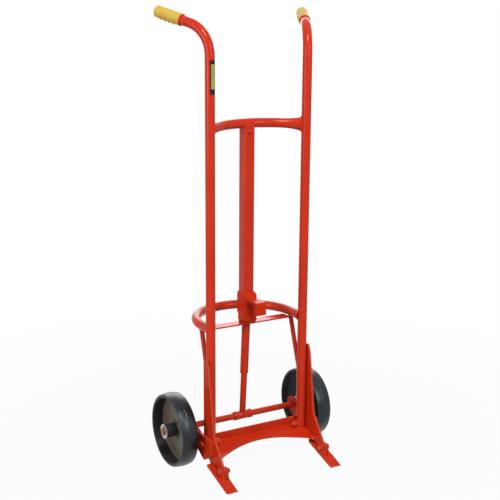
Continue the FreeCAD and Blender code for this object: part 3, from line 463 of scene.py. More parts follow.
@dataclass(frozen=True)
class Layer:
    """What covers part of a finish: a shared mask with its values, a colour and a dulling."""

    effect: Tree
    colour: Triple
    values: dict[str, float]
    dulls: float = 0.0


@dataclass(frozen=True)
class Finish:
    """A surface with a drifting tone, an uneven gloss, a fine relief and layers on top.

    The grain has the scales of the relief and of the drift, the gloss has its least and greatest
    roughness and the scale of its patches, and the relief has its strength and its depth.
    """

    name: str
    colour: Triple
    deep: Triple
    grain: Span
    gloss: Triple
    relief: Span
    layers: tuple[Layer, ...] = ()
    sockets: dict[str, object] = field(default_factory=dict)

    def clean(self, g: Graph, tone: Socket) -> Socket:
        """Colour under the layers, by the share of the drift."""
        return g.blend(tone, self.deep, self.colour)

    def extras(self, g: Graph) -> dict[str, object]:
        """Other inputs of the shader by name."""
        return self.sockets

    def build(self, effects: Effects) -> Material:
        """Make the material.

        Args:
            effects: Shared node groups.

        Returns:
            The material.
        """
        material = bpy.data.materials.new(self.name)
        material.use_nodes = True
        g = Graph(material.node_tree)
        peel = g.group(effects.peel, Scale=self.grain[0], Drift=self.grain[1])
        low, high, scale = self.gloss
        rough = g.group(effects.smudge, Low=low, High=high, Scale=scale)["Roughness"]
        colour = self.clean(g, peel["Tone"])
        for layer in self.layers:
            mask = g.group(layer.effect, **layer.values)["Mask"]
            colour = g.blend(mask, colour, layer.colour)
            if layer.dulls > 0:
                rough = g.math("ADD", rough, g.math("MULTIPLY", mask, layer.dulls), clamp=True)
        strength, depth = self.relief
        bump = g.add("Bump", Strength=strength, Distance=depth, Height=peel["Height"]).outputs[0]
        inputs = {"Base Color": colour, "Roughness": rough, "Normal": bump, **self.extras(g)}
        for name, value in inputs.items():
            g.put(material.node_tree.nodes["Principled BSDF"].inputs[name], value)
        return material


@dataclass(frozen=True)
class MouldedWheel(Finish):
    """Dark moulded wheel: a hub in its colour, a brown web whose inner side is painted near-black
    as painted shade, a black rim.
    """

    web: Triple = (0.115, 0.096, 0.062)
    rim: Triple = (0.0135, 0.0135, 0.0138)
    painted_inner_shade: Triple = (0.004, 0.004, 0.004)
    hub_r: float = 0.026
    rim_r: float = 0.1035
    step: float = 0.004
    web_x: float = 0.2534
    stain: float = 0.25
    shine: Span = (0.06, 0.25)

    def front(self, g: Graph) -> Socket:
        """1 on the web's outer side and 0 on its inner side."""
        return g.ramp(g.sideways(), self.web_x - MM, self.web_x + MM)

    def clean(self, g: Graph, tone: Socket) -> Socket:
        """Colour by the distance from the axle and from the web's middle.

        Args:
            g: Graph of the material.
            tone: Share of the drift.

        Returns:
            The colour under the layers.
        """
        centre = LAYOUT.at(0.0, LAYOUT.axle_y, LAYOUT.wheel_r)
        offset = g.vector("SUBTRACT", g.place(), centre).outputs[0]
        flat = g.vector("MULTIPLY", offset, (0.0, 1.0, 1.0)).outputs[0]
        radius = g.vector("LENGTH", flat).outputs["Value"]
        past_hub, past_web = (g.ramp(radius, r, r + self.step) for r in (self.hub_r, self.rim_r))
        # The web's inner side is painted near-black: painted shade in place of its brown.
        web = g.blend(self.front(g), self.painted_inner_shade, self.web)
        base = g.blend(past_web, g.blend(past_hub, self.colour, web), self.rim)
        return g.blend(g.math("MULTIPLY", tone, self.stain), base, self.deep)

    def extras(self, g: Graph) -> dict[str, object]:
        """A shine that is weaker on the inner side.

        Args:
            g: Graph of the material.

        Returns:
            The input by its name.
        """
        low, high = self.shine
        shine = g.math("ADD", g.math("MULTIPLY", self.front(g), high - low), low)
        return {"Specular IOR Level": shine}


class Finishes:
    """Every material of the trolley."""

    def __init__(self) -> None:
        """Build the shared groups and the materials."""
        effects = Effects()

        def worn_and_lit_edges(colour: Triple, radius: float, reach: float) -> Layer:
            """Lighter edges: rubbed wear, and on the tubes and plates partly a painted highlight.
            """
            return Layer(effects.wear_and_highlight, colour, {"Radius": radius, "Reach": reach})

        def dusty(colour: Triple, amount: float, fade: float, dulls: float = 0.0) -> Layer:
            """Settled dust."""
            return Layer(effects.dust, colour, {"Amount": amount, "Fade": fade}, dulls)

        grey = (0.42, 0.33, 0.26)
        # The tubes' lighter red edges are partly rubbed paint and partly a painted highlight along
        # the edges.
        edge, dust = worn_and_lit_edges((0.62, 0.060, 0.022), 0.0012, 0.45), dusty(grey, 0.03, 0.5, 0.5)
        ends = Layer(effects.ends, (0.20, 0.072, 0.050), {"Start": 0.285, "End": 0.286})
        tube = Finish(
            "red_enamel_tube", (0.53, 0.0280, 0.0058), (0.48, 0.0230, 0.0050), grain=(420.0, 7.0),
            gloss=(0.17, 0.25, 24.0), relief=(0.003, 0.0006), layers=(edge, dust),
            sockets={"IOR": 1.25})
        # The plates' light orange edges, which also cover the bolt heads and nuts, are partly wear
        # and partly a painted highlight of edges catching the light.
        plate = replace(
            tube, name="red_enamel_plate", gloss=(0.18, 0.30, 24.0), sockets={"IOR": 1.13},
            layers=(worn_and_lit_edges((0.74, 0.17, 0.09), 0.0026, 0.9), dusty(grey, 0.02, 0.5, 0.5)))
        zinc = Finish(
            "zinc_plate", (0.55, 0.54, 0.50), (0.37, 0.35, 0.315), grain=(1800.0, 120.0),
            gloss=(0.28, 0.46, 180.0), relief=(0.08, 0.0003),
            layers=(worn_and_lit_edges((0.78, 0.77, 0.74), 0.0008, 0.6),), sockets={"Metallic": 1.0})
        navy = Finish(
            "sticker_navy", (0.010, 0.009, 0.020), (0.016, 0.014, 0.030), grain=(2200.0, 90.0),
            gloss=(0.22, 0.40, 90.0), relief=(0.05, 0.0003), sockets={"IOR": 1.2})
        self.tube = tube.build(effects)
        self.axle = replace(
            tube, name="red_enamel_axle", layers=(edge, ends, dust)).build(effects)
        self.plate = plate.build(effects)
        # The hook's edges take the tubes' edge colour: partly wear, partly painted highlight.
        self.cast = replace(
            plate, name="red_enamel_cast", grain=(240.0, 7.0), gloss=(0.24, 0.40, 24.0),
            relief=(0.05, 0.0006), layers=(worn_and_lit_edges(edge.colour, 0.002, 0.6), dust)).build(effects)
        self.weld = replace(
            tube, name="red_enamel_weld", grain=(330.0, 7.0), gloss=(0.18, 0.34, 24.0),
            relief=(0.18, 0.0006)).build(effects)
        self.scuffed = replace(
            plate, name="red_enamel_scuffed", gloss=(0.22, 0.42, 24.0),
            layers=(worn_and_lit_edges((0.62, 0.11, 0.06), 0.002, 0.7), dust)).build(effects)
        self.vinyl = Finish(
            "yellow_vinyl_grain", (0.61, 0.410, 0.069), (0.52, 0.332, 0.054), grain=(1500.0, 30.0),
            gloss=(0.38, 0.58, 60.0), relief=(0.06, 0.0005),
            layers=(worn_and_lit_edges((0.61, 0.410, 0.069), 0.003, 0.5),),
            sockets={"Specular IOR Level": 0.1}).build(effects)
        self.rubber = Finish(
            "tyre_rubber", (0.0085, 0.0084, 0.0082), (0.0045, 0.0047, 0.0052),
            grain=(1100.0, 22.0), gloss=(0.27, 0.35, 34.0), relief=(0.02, 0.0006),
            layers=(dusty((0.12, 0.11, 0.10), 0.05, 0.4),),
            sockets={"Specular IOR Level": 0.42,
                     "Specular Tint": (0.76, 0.87, 1.0, 1.0)}).build(effects)
        self.wheel = MouldedWheel(
            "wheel_centre_moulding", (0.028, 0.030, 0.0305), (0.026, 0.024, 0.021),
            grain=(700.0, 26.0), gloss=(0.30, 0.44, 40.0), relief=(0.12, 0.0006),
            layers=(dusty((0.14, 0.13, 0.11), 0.08, 0.4),)).build(effects)
        self.zinc = zinc.build(effects)
        self.spring = replace(zinc, name="spring_wire", colour=(0.34, 0.34, 0.35),
                              deep=(0.22, 0.21, 0.20)).build(effects)
        self.navy = navy.build(effects)
        self.panel = replace(navy, name="sticker_panel", colour=(0.38, 0.33, 0.095),
                             deep=(0.31, 0.27, 0.075)).build(effects)


def dress(names: Sequence[str], material: Material, soften: float = 0.0) -> None:
    """Give CAD nodes a finish, and soften their hard edges.

    Args:
        names: Nodes to dress.
        material: Their finish.
        soften: Width in millimetres of the rounded edges, or 0 for none.
    """
    for name in names:
        node = frame["nodes"][name]
        node.data.materials.clear()
        node.data.materials.append(material)
        if soften > 0:
            weld = node.modifiers.new("close_seams", "WELD")
            weld.merge_threshold = SEAM_MERGE
            round_off = node.modifiers.new("round_edges", "BEVEL")
            round_off.width = soften * MM
            round_off.segments = 2
            round_off.limit_method = "ANGLE"
            round_off.angle_limit = ROUNDED_FROM
        LOG.info("node %s dressed in %s", name, material.name)


@dataclass
class Handles:
    """The two uprights, their grips and the plain sticker on the left one."""

    finishes: Finishes
    grip_setback: float = 34.0
    grip_length: float = 100.0
    grip_r: float = 18.775
    grip_steps: int = 150
    grip_sides: int = 64
    bore_depths: Span = (22.0, 0.4)
    lip_height: float = 0.7
    lip_place: float = 2.2
    lip_width: float = 1.8
    ridges: int = 4
    ridge_pitch: float = 17.0
    ridge_height: float = 2.4
    ridge_share: float = 0.36
    ridge_crest: float = 1.4
    ridge_wrap: float = 0.6
    end_round: float = 5.0
    end_steps: int = 12
    end_dot: float = 0.25
    sticker_z: Span = (1256.0, 1361.0)
    sticker_turn: float = 23.75
    sticker_half: float = 51.75
    sticker_grid: tuple[int, int] = (30, 24)
    panel_margins: Triple = (17.0, 12.5, 9.25)

    def handle(self, side: Side) -> tuple[Vector, Vector, Vector]:
        """Where a handle leaves its bend.

        Args:
            side: Side of the trolley.

        Returns:
            The place in millimetres, the handle's direction and the direction of its underside.
        """
        angle, splay = radians(LAYOUT.bend_angle), radians(LAYOUT.splay)
        out = Vector((side.value * sin(splay), cos(splay), 0.0))
        foot = Vector((side.value * LAYOUT.upright_x, 0.0, LAYOUT.bend_start_z))
        centre = foot + out * LAYOUT.bend_r
        sine, cosine = sin(angle), cos(angle)
        end = centre - out * (LAYOUT.bend_r * cosine) + UP * (LAYOUT.bend_r * sine)
        return end, out * sine + UP * cosine, out * cosine - UP * sine

    def build(self) -> None:
        """Dress the uprights, and make the grips and the sticker."""
        dress(["left_upright", "right_upright"], self.finishes.tube)
        for side in Side:
            self.grip(side)
        self.sticker()

    def grip_radius(self, along: float, turn: float) -> float:
        """Radius of a grip's surface.

        Args:
            along: Distance from its open end, in millimetres.
            turn: Angle from the underside, in radians.

        Returns:
            The radius in millimetres.
        """
        first = (self.grip_length - (self.ridges - 1) * self.ridge_pitch) / 2
        half = self.ridge_pitch * self.ridge_share
        wave = 0.0
        for k in range(self.ridges):
            gap = abs(along - first - k * self.ridge_pitch) / half
            wave = max(wave, cos(min(gap, 1.0) * pi / 2) ** self.ridge_crest)
        under = max(0.0, cos(turn))
        lip = self.lip_height * exp(-((along - self.lip_place) / self.lip_width) ** 2)
        return self.grip_r + lip + self.ridge_height * wave * under ** self.ridge_wrap

    def grip(self, side: Side) -> None:
        """Make one grip: a closed sleeve with a rolled lip and finger ridges below.

        Args:
            side: Side of the trolley.
        """
        end, heading, under = self.handle(side)
        start = end + heading * self.grip_setback
        across = heading.cross(under)
        straight = self.grip_length - self.end_round
        outline = [(along, lambda turn: LAYOUT.tube_r + LAYOUT.seat) for along in self.bore_depths]
        for i in range(self.grip_steps + 1):
            along = i / self.grip_steps * straight
            outline.append((along, lambda turn, a=along: self.grip_radius(a, turn)))
        for i in range(1, self.end_steps + 1):
            lean = i / self.end_steps * pi / 2
            pull = self.end_round * (1 - cos(lean))
            along = straight + self.end_round * sin(lean)
            outline.append((along, lambda turn, p=pull: self.grip_r - p))
        outline.append((self.grip_length, lambda turn: self.grip_r * self.end_dot))
        rings = []
        for along, radius in outline:
            ring = Shaper.ring(start + heading * along, under, across, radius, self.grip_sides)
            rings.append([LAYOUT.at(*p) for p in ring])
        shape = Shaper()
        shape.skin(rings)
        piece = shape.piece(f"{side.word}_vinyl_grip", "frame", Slot.YELLOW,
                            self.finishes.vinyl, sharp=60)
        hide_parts(f"{side.word}_grip")

    def patch(self, name: str, z: Span, half: float, lift: float, thick: float, corner: float,
              material: Material, shift: float = 0.0) -> None:
        """Make one layer of the sticker, wrapped round the left upright.

        Args:
            name: Name of the piece.
            z: Lower and upper edge, in millimetres.
            half: Half its width, in degrees.
            lift: Gap under it, in millimetres.
            thick: Thickness of the film, in millimetres.
            corner: Radius of its corners, in millimetres.
            material: Its finish.
            shift: How far it is turned from the middle of the sticker, in degrees.
        """
        rows, columns = self.sticker_grid
        middle = radians(self.sticker_turn + shift)
        faces = ((LAYOUT.tube_r + lift, 1), (LAYOUT.tube_r + lift + thick, -1))
        rings = []
        for i in range(rows + 1):
            h = z[0] + (z[1] - z[0]) * i / rows
            from_corner = max(0.0, corner - min(h - z[0], z[1] - h))
            pull = corner - sqrt(max(0.0, corner ** 2 - from_corner ** 2))
            reach = radians(half) - pull / LAYOUT.tube_r
            turns = [middle + reach * (2 * k / columns - 1) for k in range(columns + 1)]
            rings.append([LAYOUT.at(r * sin(t) - LAYOUT.upright_x, -r * cos(t), h)
                          for r, way in faces for t in turns[::way]])
        shape = Shaper()
        shape.skin(rings)
        shape.piece(name, "frame", Slot.RED, material)

    def sticker(self) -> None:
        """Make the navy sticker and its plain yellow panel."""
        low, high = self.sticker_z
        below, above, beside = self.panel_margins
        self.patch("sticker_backing", (low, high), self.sticker_half, lift=0.05, thick=0.15,
                   corner=2.0, material=self.finishes.navy)
        self.patch("sticker_field", (low + below, high - above), self.sticker_half - beside,
                   lift=0.21, thick=0.08, corner=1.0, material=self.finishes.panel, shift=5.25)


@dataclass
class WeldBeads:
    """Painted weld beads, each a rippled run along the line where two pieces meet."""

    finishes: Finishes
    ripple: float = 0.16
    ripple_bend: float = 1.6
    ripple_mean: float = 0.4
    drifts: tuple[Span, ...] = ((0.10, 17.0), (0.06, 41.0))
    taper_from: float = 0.45
    taper_rate: float = 8.0
    pitch: float = 3.2
    points_per_ripple: int = 5
    bow_end: Span = (13.0, 23.6)
    proud: float = 0.8
    nearer: float = 0.6
    least_depth: float = 8.0
    foot_span: Span = (-118.0, 62.0)
    plate_seams: tuple[Span, ...] = ((165.0, 205.0), (245.0, 285.0), (330.0, 372.0))
    plate_inset: float = 1.6
    plate_y: float = 8.2
    lip_inset: float = 1.4
    lip_y: Span = (-42.0, -88.0)
    lip_lift: float = 0.9
    lip_drop: float = 7.4
    brace_bead_r: float = 8.4
    brace_foot_z: float = 250.0
    brace_head_y: float = 75.0
    brace_gaps: Span = (0.5, 0.4)
    post_x: float = 19.6
    post_span: Span = (-22.0, -158.0)
    post_half: float = 18.5
    post_drop: float = 4.4
    post_seams: Span = (62.4, 95.6)
    sleeve_r: float = 14.4
    rod_r: float = 11.5
    strut_top_z: float = 455.2
    count: int = field(default=0, init=False)

    def run(self, name: str, path: Path, radius: float, closed: bool = False,
            body: str = "frame") -> None:
        """Lay one bead.

        Args:
            name: Name of the piece.
            path: Points of the bead's centreline in the model's frame.
            radius: Mean radius in millimetres.
            closed: Whether the bead goes all the way round.
            body: Body that carries it.
        """
        fine = self.resample(path, closed)
        length = sum((b - a).length for a, b in zip(fine, fine[1:]))
        waves = max(2, round(length / (self.pitch * MM)))
        radii = []
        for i in range(len(fine)):
            share = i / (len(fine) - 1)
            saw = (share * waves) % 1.0
            drift = sum(size * sin(share * rate + n * self.count)
                        for n, (size, rate) in enumerate(self.drifts, 1))
            ends = self.taper_from + self.taper_rate * min(share, 1 - share)
            taper = 1.0 if closed else min(1.0, ends)
            wave = self.ripple * (saw ** self.ripple_bend - self.ripple_mean)
            radii.append(radius * MM * taper * (1 + drift + wave))
        shape = Shaper()
        shape.sweep(fine, radii, closed=closed)
        shape.piece(name, body, Slot.RED, self.finishes.weld, sharp=75)
        self.count += 1

    def resample(self, path: Path, closed: bool) -> list[Vector]:
        """Points spaced evenly along a path, several to a ripple.

        Args:
            path: Points of the path.
            closed: Whether it is a loop.

        Returns:
            The new points.
        """
        points = list(path) + ([path[0]] if closed else [])
        step = self.pitch * MM / self.points_per_ripple
        lengths = [(b - a).length for a, b in zip(points, points[1:])]
        total = sum(lengths)
        count = max(8, round(total / step))
        made, i, gone = [], 0, 0.0
        for k in range(count + (0 if closed else 1)):
            want = min(total * k / count, total - 1e-9)
            while gone + lengths[i] < want:
                gone += lengths[i]
                i += 1
            made.append(points[i].lerp(points[i + 1], (want - gone) / lengths[i]))
        return made

    @staticmethod
    def angles(count: int = 72, span: Span = (0.0, 360.0)) -> list[float]:
        """Angles in radians over a span in degrees, where a whole turn leaves out its end."""
        last = count if span[1] - span[0] == 360.0 else count - 1
        return [radians(span[0] + (span[1] - span[0]) * k / last) for k in range(count)]

    def build(self) -> None:
        """Lay every bead."""
        for side in Side:
            self.upright_beads(side)
        self.post_beads()
        self.sleeve_bead()

    def upright_beads(self, side: Side) -> None:
        """Beads of one upright: the bow, the ring, the foot, the side plate and the brace.

        Args:
            side: Side of the trolley.
        """
        s, word = side.value, side.word
        tube = LAYOUT.tube_r
        x0 = s * LAYOUT.upright_x
        bow_r = (LAYOUT.upright_x ** 2 + LAYOUT.bow_depth ** 2) / (2 * LAYOUT.bow_depth)
        half = asin(LAYOUT.upright_x / bow_r)
        out = (sin(half), cos(half))
        back = (-cos(half), sin(half))
        bow, ring, foot = [], [], []
        for t in self.angles():
            wide = self.bow_end[0] * cos(t)
            reach = sqrt((tube + self.proud) ** 2 - wide ** 2)
            y = out[1] * wide + back[1] * reach
            rise = y * LAYOUT.bow_rise / LAYOUT.bow_depth
            z = LAYOUT.bow_z + self.bow_end[1] * sin(t) + rise
            bow.append(LAYOUT.at(x0 + s * (out[0] * wide + back[0] * reach), y, z))
            across = LAYOUT.ring_x - LAYOUT.upright_x + LAYOUT.ring_r * cos(t)
            depth = sqrt(max(0.0, (tube + self.nearer) ** 2 - across ** 2))
            z = LAYOUT.ring_z + LAYOUT.ring_r * sin(t)
            ring.append(LAYOUT.at(x0 + s * across, max(self.least_depth, depth), z))
        for t in self.angles(span=self.foot_span):
            y = (tube + self.proud) * sin(t)
            x = x0 - s * (tube + self.proud) * cos(t)
            foot.append(LAYOUT.at(x, y, LAYOUT.nose_top(y) + self.proud))
        self.run(f"{word}_bow_weld", bow, radius=2.6, closed=True)
        self.run(f"{word}_ring_weld", ring, radius=2.4, closed=True)
        self.run(f"{word}_foot_weld", foot, radius=2.4)
        for k, (low, high) in enumerate(self.plate_seams):
            x = s * (LAYOUT.toe_x0 - self.plate_inset)
            seam = [LAYOUT.at(x, self.plate_y, low + (high - low) * i / 10) for i in range(11)]
            self.run(f"{word}_plate_weld_{k + 1}", seam, radius=2.0)
        self.brace_beads(side)
        top = LAYOUT.nose_top(self.lip_y[0])
        corner = [LAYOUT.at(s * (LAYOUT.toe_x0 - self.lip_inset), y, z + self.lip_lift)
                  for y, z in zip(self.lip_y, (top, top - self.lip_drop))]
        self.run(f"{word}_nose_weld", corner, radius=2.0)

    def brace_beads(self, side: Side) -> None:
        """Beads at both ends of one brace.

        Args:
            side: Side of the trolley.
        """
        low = Vector((LAYOUT.upright_x, 0.0, self.brace_foot_z))
        high = Vector((LAYOUT.ring_x, self.brace_head_y, LAYOUT.ring_z))
        along = (high - low).normalized()
        u = along.cross(ACROSS).normalized() * self.brace_bead_r
        v = along.cross(u)
        # Each end meets a tube along the axis that flat leaves out.
        foot = (low, Vector((1.0, 1.0, 0.0)), LAYOUT.tube_r + self.brace_gaps[0], 1)
        head = (high, Vector((1.0, 0.0, 1.0)), LAYOUT.ring_r + self.brace_gaps[1], -1)
        for word, bead, (end, flat, radius, way) in (("foot", 1.8, foot), ("head", 1.6, head)):
            lean = along * flat
            path = []
            for t in self.angles(count=48):
                p = end + u * cos(t) + v * sin(t)
                off = (p - end) * flat
                a, b, c = lean.dot(lean), off.dot(lean), off.dot(off) - radius ** 2
                q = p + along * ((-b + way * sqrt(max(0.0, b * b - a * c))) / a)
                path.append(LAYOUT.at(side.value * q.x, q.y, q.z))
            self.run(f"{side.word}_brace_{word}_weld", path, radius=bead, closed=True)

    def post_beads(self) -> None:
        """Beads where the post meets the upper bow."""
        tube = LAYOUT.tube_r + self.nearer
        middle = LAYOUT.bow_z + LAYOUT.bow_rise
        for side in Side:
            saddle = [LAYOUT.at(side.value * self.post_x, LAYOUT.bow_depth + tube * cos(t),
                                middle + tube * sin(t))
                      for t in self.angles(count=40, span=self.post_span)]
            self.run(f"{side.word}_post_weld", saddle, radius=2.2)
        for name, y in zip(("post_front_weld", "post_rear_weld"), self.post_seams):
            seam = [LAYOUT.at(-self.post_half + 2 * self.post_half * i / 20, y,
                              middle - self.post_drop) for i in range(21)]
            self.run(name, seam, radius=2.5)

    def sleeve_bead(self) -> None:
        """Bead where the strut's rod meets its sleeve on the axle."""
        foot = Vector((0.0, LAYOUT.axle_y, LAYOUT.wheel_r))
        up = (Vector((0.0, LAYOUT.bow_depth, self.strut_top_z)) - foot).normalized()
        v = up.cross(ACROSS)
        saddle = []
        for t in self.angles(count=60):
            wide = self.rod_r * sin(t)
            rise = sqrt(self.sleeve_r ** 2 - wide ** 2)
            p = foot + ACROSS * (self.rod_r * cos(t)) + v * wide + up * rise
            saddle.append(LAYOUT.at(*p))
        self.run("sleeve_weld", saddle, radius=1.8, closed=True, body="strut_lower")


@dataclass
class CarryFrame:
    """The bow, post, ring, strip, braces and the sliding hook."""

    finishes: Finishes

    def build(self) -> None:
        """Dress the nodes."""
        dress(["top_crossbar", "lower_ring", "left_brace", "right_brace"], self.finishes.tube)
        dress(["centre_post", "tie_strip", "post_stop"], self.finishes.tube, soften=0.4)
        dress(["chime_hook"], self.finishes.cast, soften=1.2)


@dataclass
class Toe:
    """The side plates, the prongs and the nose plate."""

    finishes: Finishes

    def build(self) -> None:
        """Dress the nodes."""
        plates = ["left_toe_plate", "right_toe_plate", "nose_plate"]
        dress(plates, self.finishes.plate, soften=0.8)
        dress(["left_prong", "right_prong"], self.finishes.scuffed, soften=0.7)


@dataclass(frozen=True)
class Pivot:
    """A bolt and its nut on one axis across the trolley, mirrored on the other side."""

    word: str
    radius: float
    tip: float
    seat: float
    nut_face: float
    nut_flats: float
    nut_height: float
    y: float
    z: float


@dataclass
class HexHardware:
    """Bolts and nuts with chamfered hexagons and cut threads.

    The head's sizes and the thread's root and point are shares of the shank's radius.
    """

    finishes: Finishes
    pivots: tuple[Pivot, ...] = (
        Pivot("arm_pivot", radius=6.0, tip=144.025, seat=211.575, nut_face=163.025, nut_flats=22.0,
              nut_height=13.0, y=0.0, z=98.0),
        Pivot("prong_pivot", radius=5.0, tip=175.175, seat=209.775, nut_face=186.175,
              nut_flats=15.0, nut_height=9.1, y=-122.0, z=47.0),
    )
    steps: int = 72
    chamfer: float = 0.58
    crown: float = 0.95
    head_height: float = 1.3
    head_flats: float = 3.0
    nut_play: float = 0.05
    tip_r: float = 0.3
    thread: float = 16.0
    thread_pitch: float = 1.5
    thread_from: float = 0.9
    thread_end: float = 1.4
    thread_root: float = 0.87
    thread_point: float = 0.78
    shank_steps: int = 28

    @staticmethod
    def hexagon(turn: float, flats: float) -> float:
        """Distance at an angle from a hexagon's middle to its edge, by its width over flats."""
        sixth = pi / 3
        return flats / 2 / cos((turn + sixth / 2) % sixth - sixth / 2)

    def head(self, shape: Shaper, pivot: Pivot, x0: float, x1: float, flats: float,
             bore: float = 0.0) -> None:
        """Add a hexagon along X with a chamfered far face: a bolt's head, or a bored nut.

        Args:
            shape: Mesh that takes the faces.
            pivot: Pivot whose axis it is on.
            x0: Near face, in millimetres, which is chamfered on a nut.
            x1: Far face.
            flats: Width across the flats.
            bore: Radius of a nut's hole, or 0 for a bolt's head.
        """
        way = 1.0 if x1 > x0 else -1.0
        crown = flats / 2 * self.crown
        # Rows of x, radius and chamfer, where the hexagon's own edge has no radius.
        rows = [(x0, crown, 0.0), (x0, None, way)] if bore > 0 else [(x0, None, 0.0)]
        rows += [(x1, None, -way), (x1, crown, 0.0), (x1, max(bore, self.tip_r), 0.0)]
        rows += [(x0, bore, 0.0)] if bore > 0 else []
        rings = []
        for x, radius, lean in rows:
            ring = []
            for k in range(self.steps):
                turn = 2 * pi * k / self.steps + pi / 6
                edge = self.hexagon(turn - pi / 6, flats)
                r = edge if radius is None else radius
                ring.append(LAYOUT.at(x + lean * (self.chamfer * (edge - crown)),
                                      pivot.y + r * cos(turn), pivot.z + r * sin(turn)))
            rings.append(ring)
        shape.skin(rings, closed=bore > 0)

    def shank(self, shape: Shaper, pivot: Pivot, side: Side) -> None:
        """Add a shank whose free end is threaded.

        Args:
            shape: Mesh that takes the faces.
            pivot: Pivot that it belongs to.
            side: Side of the trolley.
        """
        way, radius, pitch = side.value, pivot.radius, self.thread_pitch
        turns = int(self.thread / pitch)
        profile = [(0.0, radius * self.thread_point)]
        for k in range(turns):
            start = self.thread_from + k * pitch
            profile += [(start, radius * self.thread_root), (start + pitch / 2, radius)]
        profile += [(self.thread_end + turns * pitch, radius), (pivot.seat - pivot.tip, radius)]
        centre = LAYOUT.at(way * pivot.tip, pivot.y, pivot.z)
        shape.turn([(way * x, r) for x, r in profile], centre, self.shank_steps, closed=False)

    def build(self) -> None:
        """Make the arm pivots' and the prong pivots' bolts and nuts."""
        for pivot in self.pivots:
            bolts, nuts = Shaper(), Shaper()
            for side in Side:
                s, radius = side.value, pivot.radius
                self.shank(bolts, pivot, side)
                top = pivot.seat + self.head_height * radius
                self.head(bolts, pivot, s * pivot.seat, s * top, self.head_flats * radius)
                self.head(nuts, pivot, s * pivot.nut_face, s * (pivot.nut_face - pivot.nut_height),
                          pivot.nut_flats, radius + self.nut_play)
            for shape, kind in ((bolts, "bolts"), (nuts, "nuts")):
                # The plate finish paints a highlight on the edges of these heads and nuts.
                piece = shape.piece(f"{pivot.word}_hex_{kind}", "frame", Slot.RED,
                                    self.finishes.plate, sharp=25)
                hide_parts(f"{pivot.word}_{kind}")


@dataclass
class AxleCarriage:
    """The axle, its arms, collars, washers and split pins.

    The pin's eye and crook are given as shares of the gap between its legs with distances from
    the axle, and its tips as distances to the side and from the axle.
    """

    finishes: Finishes
    pin_x: float = 308.475
    wire_r: float = 1.04
    gap_share: float = 0.95
    eye: tuple[Span, ...] = ((0.0, 6.4), (1.6, 5.9), (2.5, 4.4), (2.2, 2.6), (1.2, 1.2), (1.0, 0.0))
    crook: tuple[Span, ...] = ((1.0, 0.0), (1.3, 1.4), (3.0, 2.6))
    tips: tuple[Span, ...] = ((6.5, 2.2), (9.5, 0.6))

    def build(self) -> None:
        """Dress the nodes and make the split pins."""
        dress(["left_axle_arm", "right_axle_arm"], self.finishes.plate, soften=0.8)
        dress(["axle"], self.finishes.axle)
        dress(["set_screws", "arm_stop_pins"], self.finishes.tube)
        dress(["shaft_collars"], self.finishes.tube, soften=1.4)
        dress(["inner_washers", "outer_washers"], self.finishes.zinc)
        self.split_pins()

    def split_pins(self) -> None:
        """Make the two split pins: an eye above the axle, and two legs bent round it below."""
        shape = Shaper()
        y = LAYOUT.axle_y
        top, low = LAYOUT.wheel_r + LAYOUT.axle_r, LAYOUT.wheel_r - LAYOUT.axle_r
        for side in Side:
            for way in (-1, 1):
                gap = way * self.wire_r * self.gap_share
                path = [(y + gap * share, top + rise) for share, rise in self.eye]
                path += [(y + gap, LAYOUT.wheel_r)]
                path += [(y + gap * share, low - drop) for share, drop in self.crook]
                path += [(y + way * reach, low - drop) for reach, drop in self.tips]
                points = [LAYOUT.at(side.value * self.pin_x, a, b) for a, b in path]
                shape.sweep(points, [self.wire_r * MM] * len(points))
        piece = shape.piece("split_pins", "axle_carriage", Slot.RED, self.finishes.axle, sharp=80)
        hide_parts("cotter_pins")


@dataclass
class Wheel:
    """One wheel: a moulded tyre with a parting line and side ribs, on its centre."""

    finishes: Finishes
    side: Side
    half: float = 28.0
    parting_line: tuple[Span, ...] = ((0.0, 127.0), (0.35, 127.0), (0.7, 126.75))
    tread_half: float = 24.6
    tread_r: float = 126.85
    crown: float = 2.85
    shoulder_r: float = 119.8
    shoulder_rise: float = 4.2
    wall: tuple[Span, ...] = ((0.0, 119.0), (0.35, 118.7), (0.35, 118.1), (0.0, 117.8),
                              (-0.4, 117.3), (-1.2, 116.8), (-2.5, 116.1), (-3.0, 116.0))
    arc_steps: int = 8
    steps: int = 160

    def tyre_profile(self) -> list[Span]:
        """Right half of the tyre's section, from the tread's middle to the rim.

        Returns:
            Points of (distance along the axle, radius) in millimetres.
        """
        half, tread, points = self.half, self.tread_half, list(self.parting_line)
        first = points[-1][0]
        for i in range(1, self.arc_steps + 1):
            x = first + (tread - first) * i / self.arc_steps
            points.append((x, self.tread_r - self.crown * (x / tread) ** 2))
        for i in range(1, self.arc_steps + 1):
            a = radians(90.0 - 90.0 * i / self.arc_steps)
            points.append((tread + (half - tread) * cos(a),
                           self.shoulder_r + self.shoulder_rise * sin(a)))
        return points + [(half + x, r) for x, r in self.wall]

    def build(self) -> None:
        """Make the tyre and dress the centre and bearing."""
        word = self.side.word
        right = self.tyre_profile()
        section = right + [(-x, r) for x, r in reversed(right[1:])]
        shape = Shaper()
        centre = LAYOUT.at(self.side.value * LAYOUT.wheel_x, LAYOUT.axle_y, LAYOUT.wheel_r)
        shape.turn(section, centre, self.steps)
        piece = shape.piece(f"{word}_moulded_tyre", f"{word}_wheel", Slot.RUBBER,
                            self.finishes.rubber, sharp=50)
        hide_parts(f"{word}_tyre")
        dress([f"{word}_wheel_centre"], self.finishes.wheel)
        dress([f"{word}_roller_bearing"], self.finishes.spring)


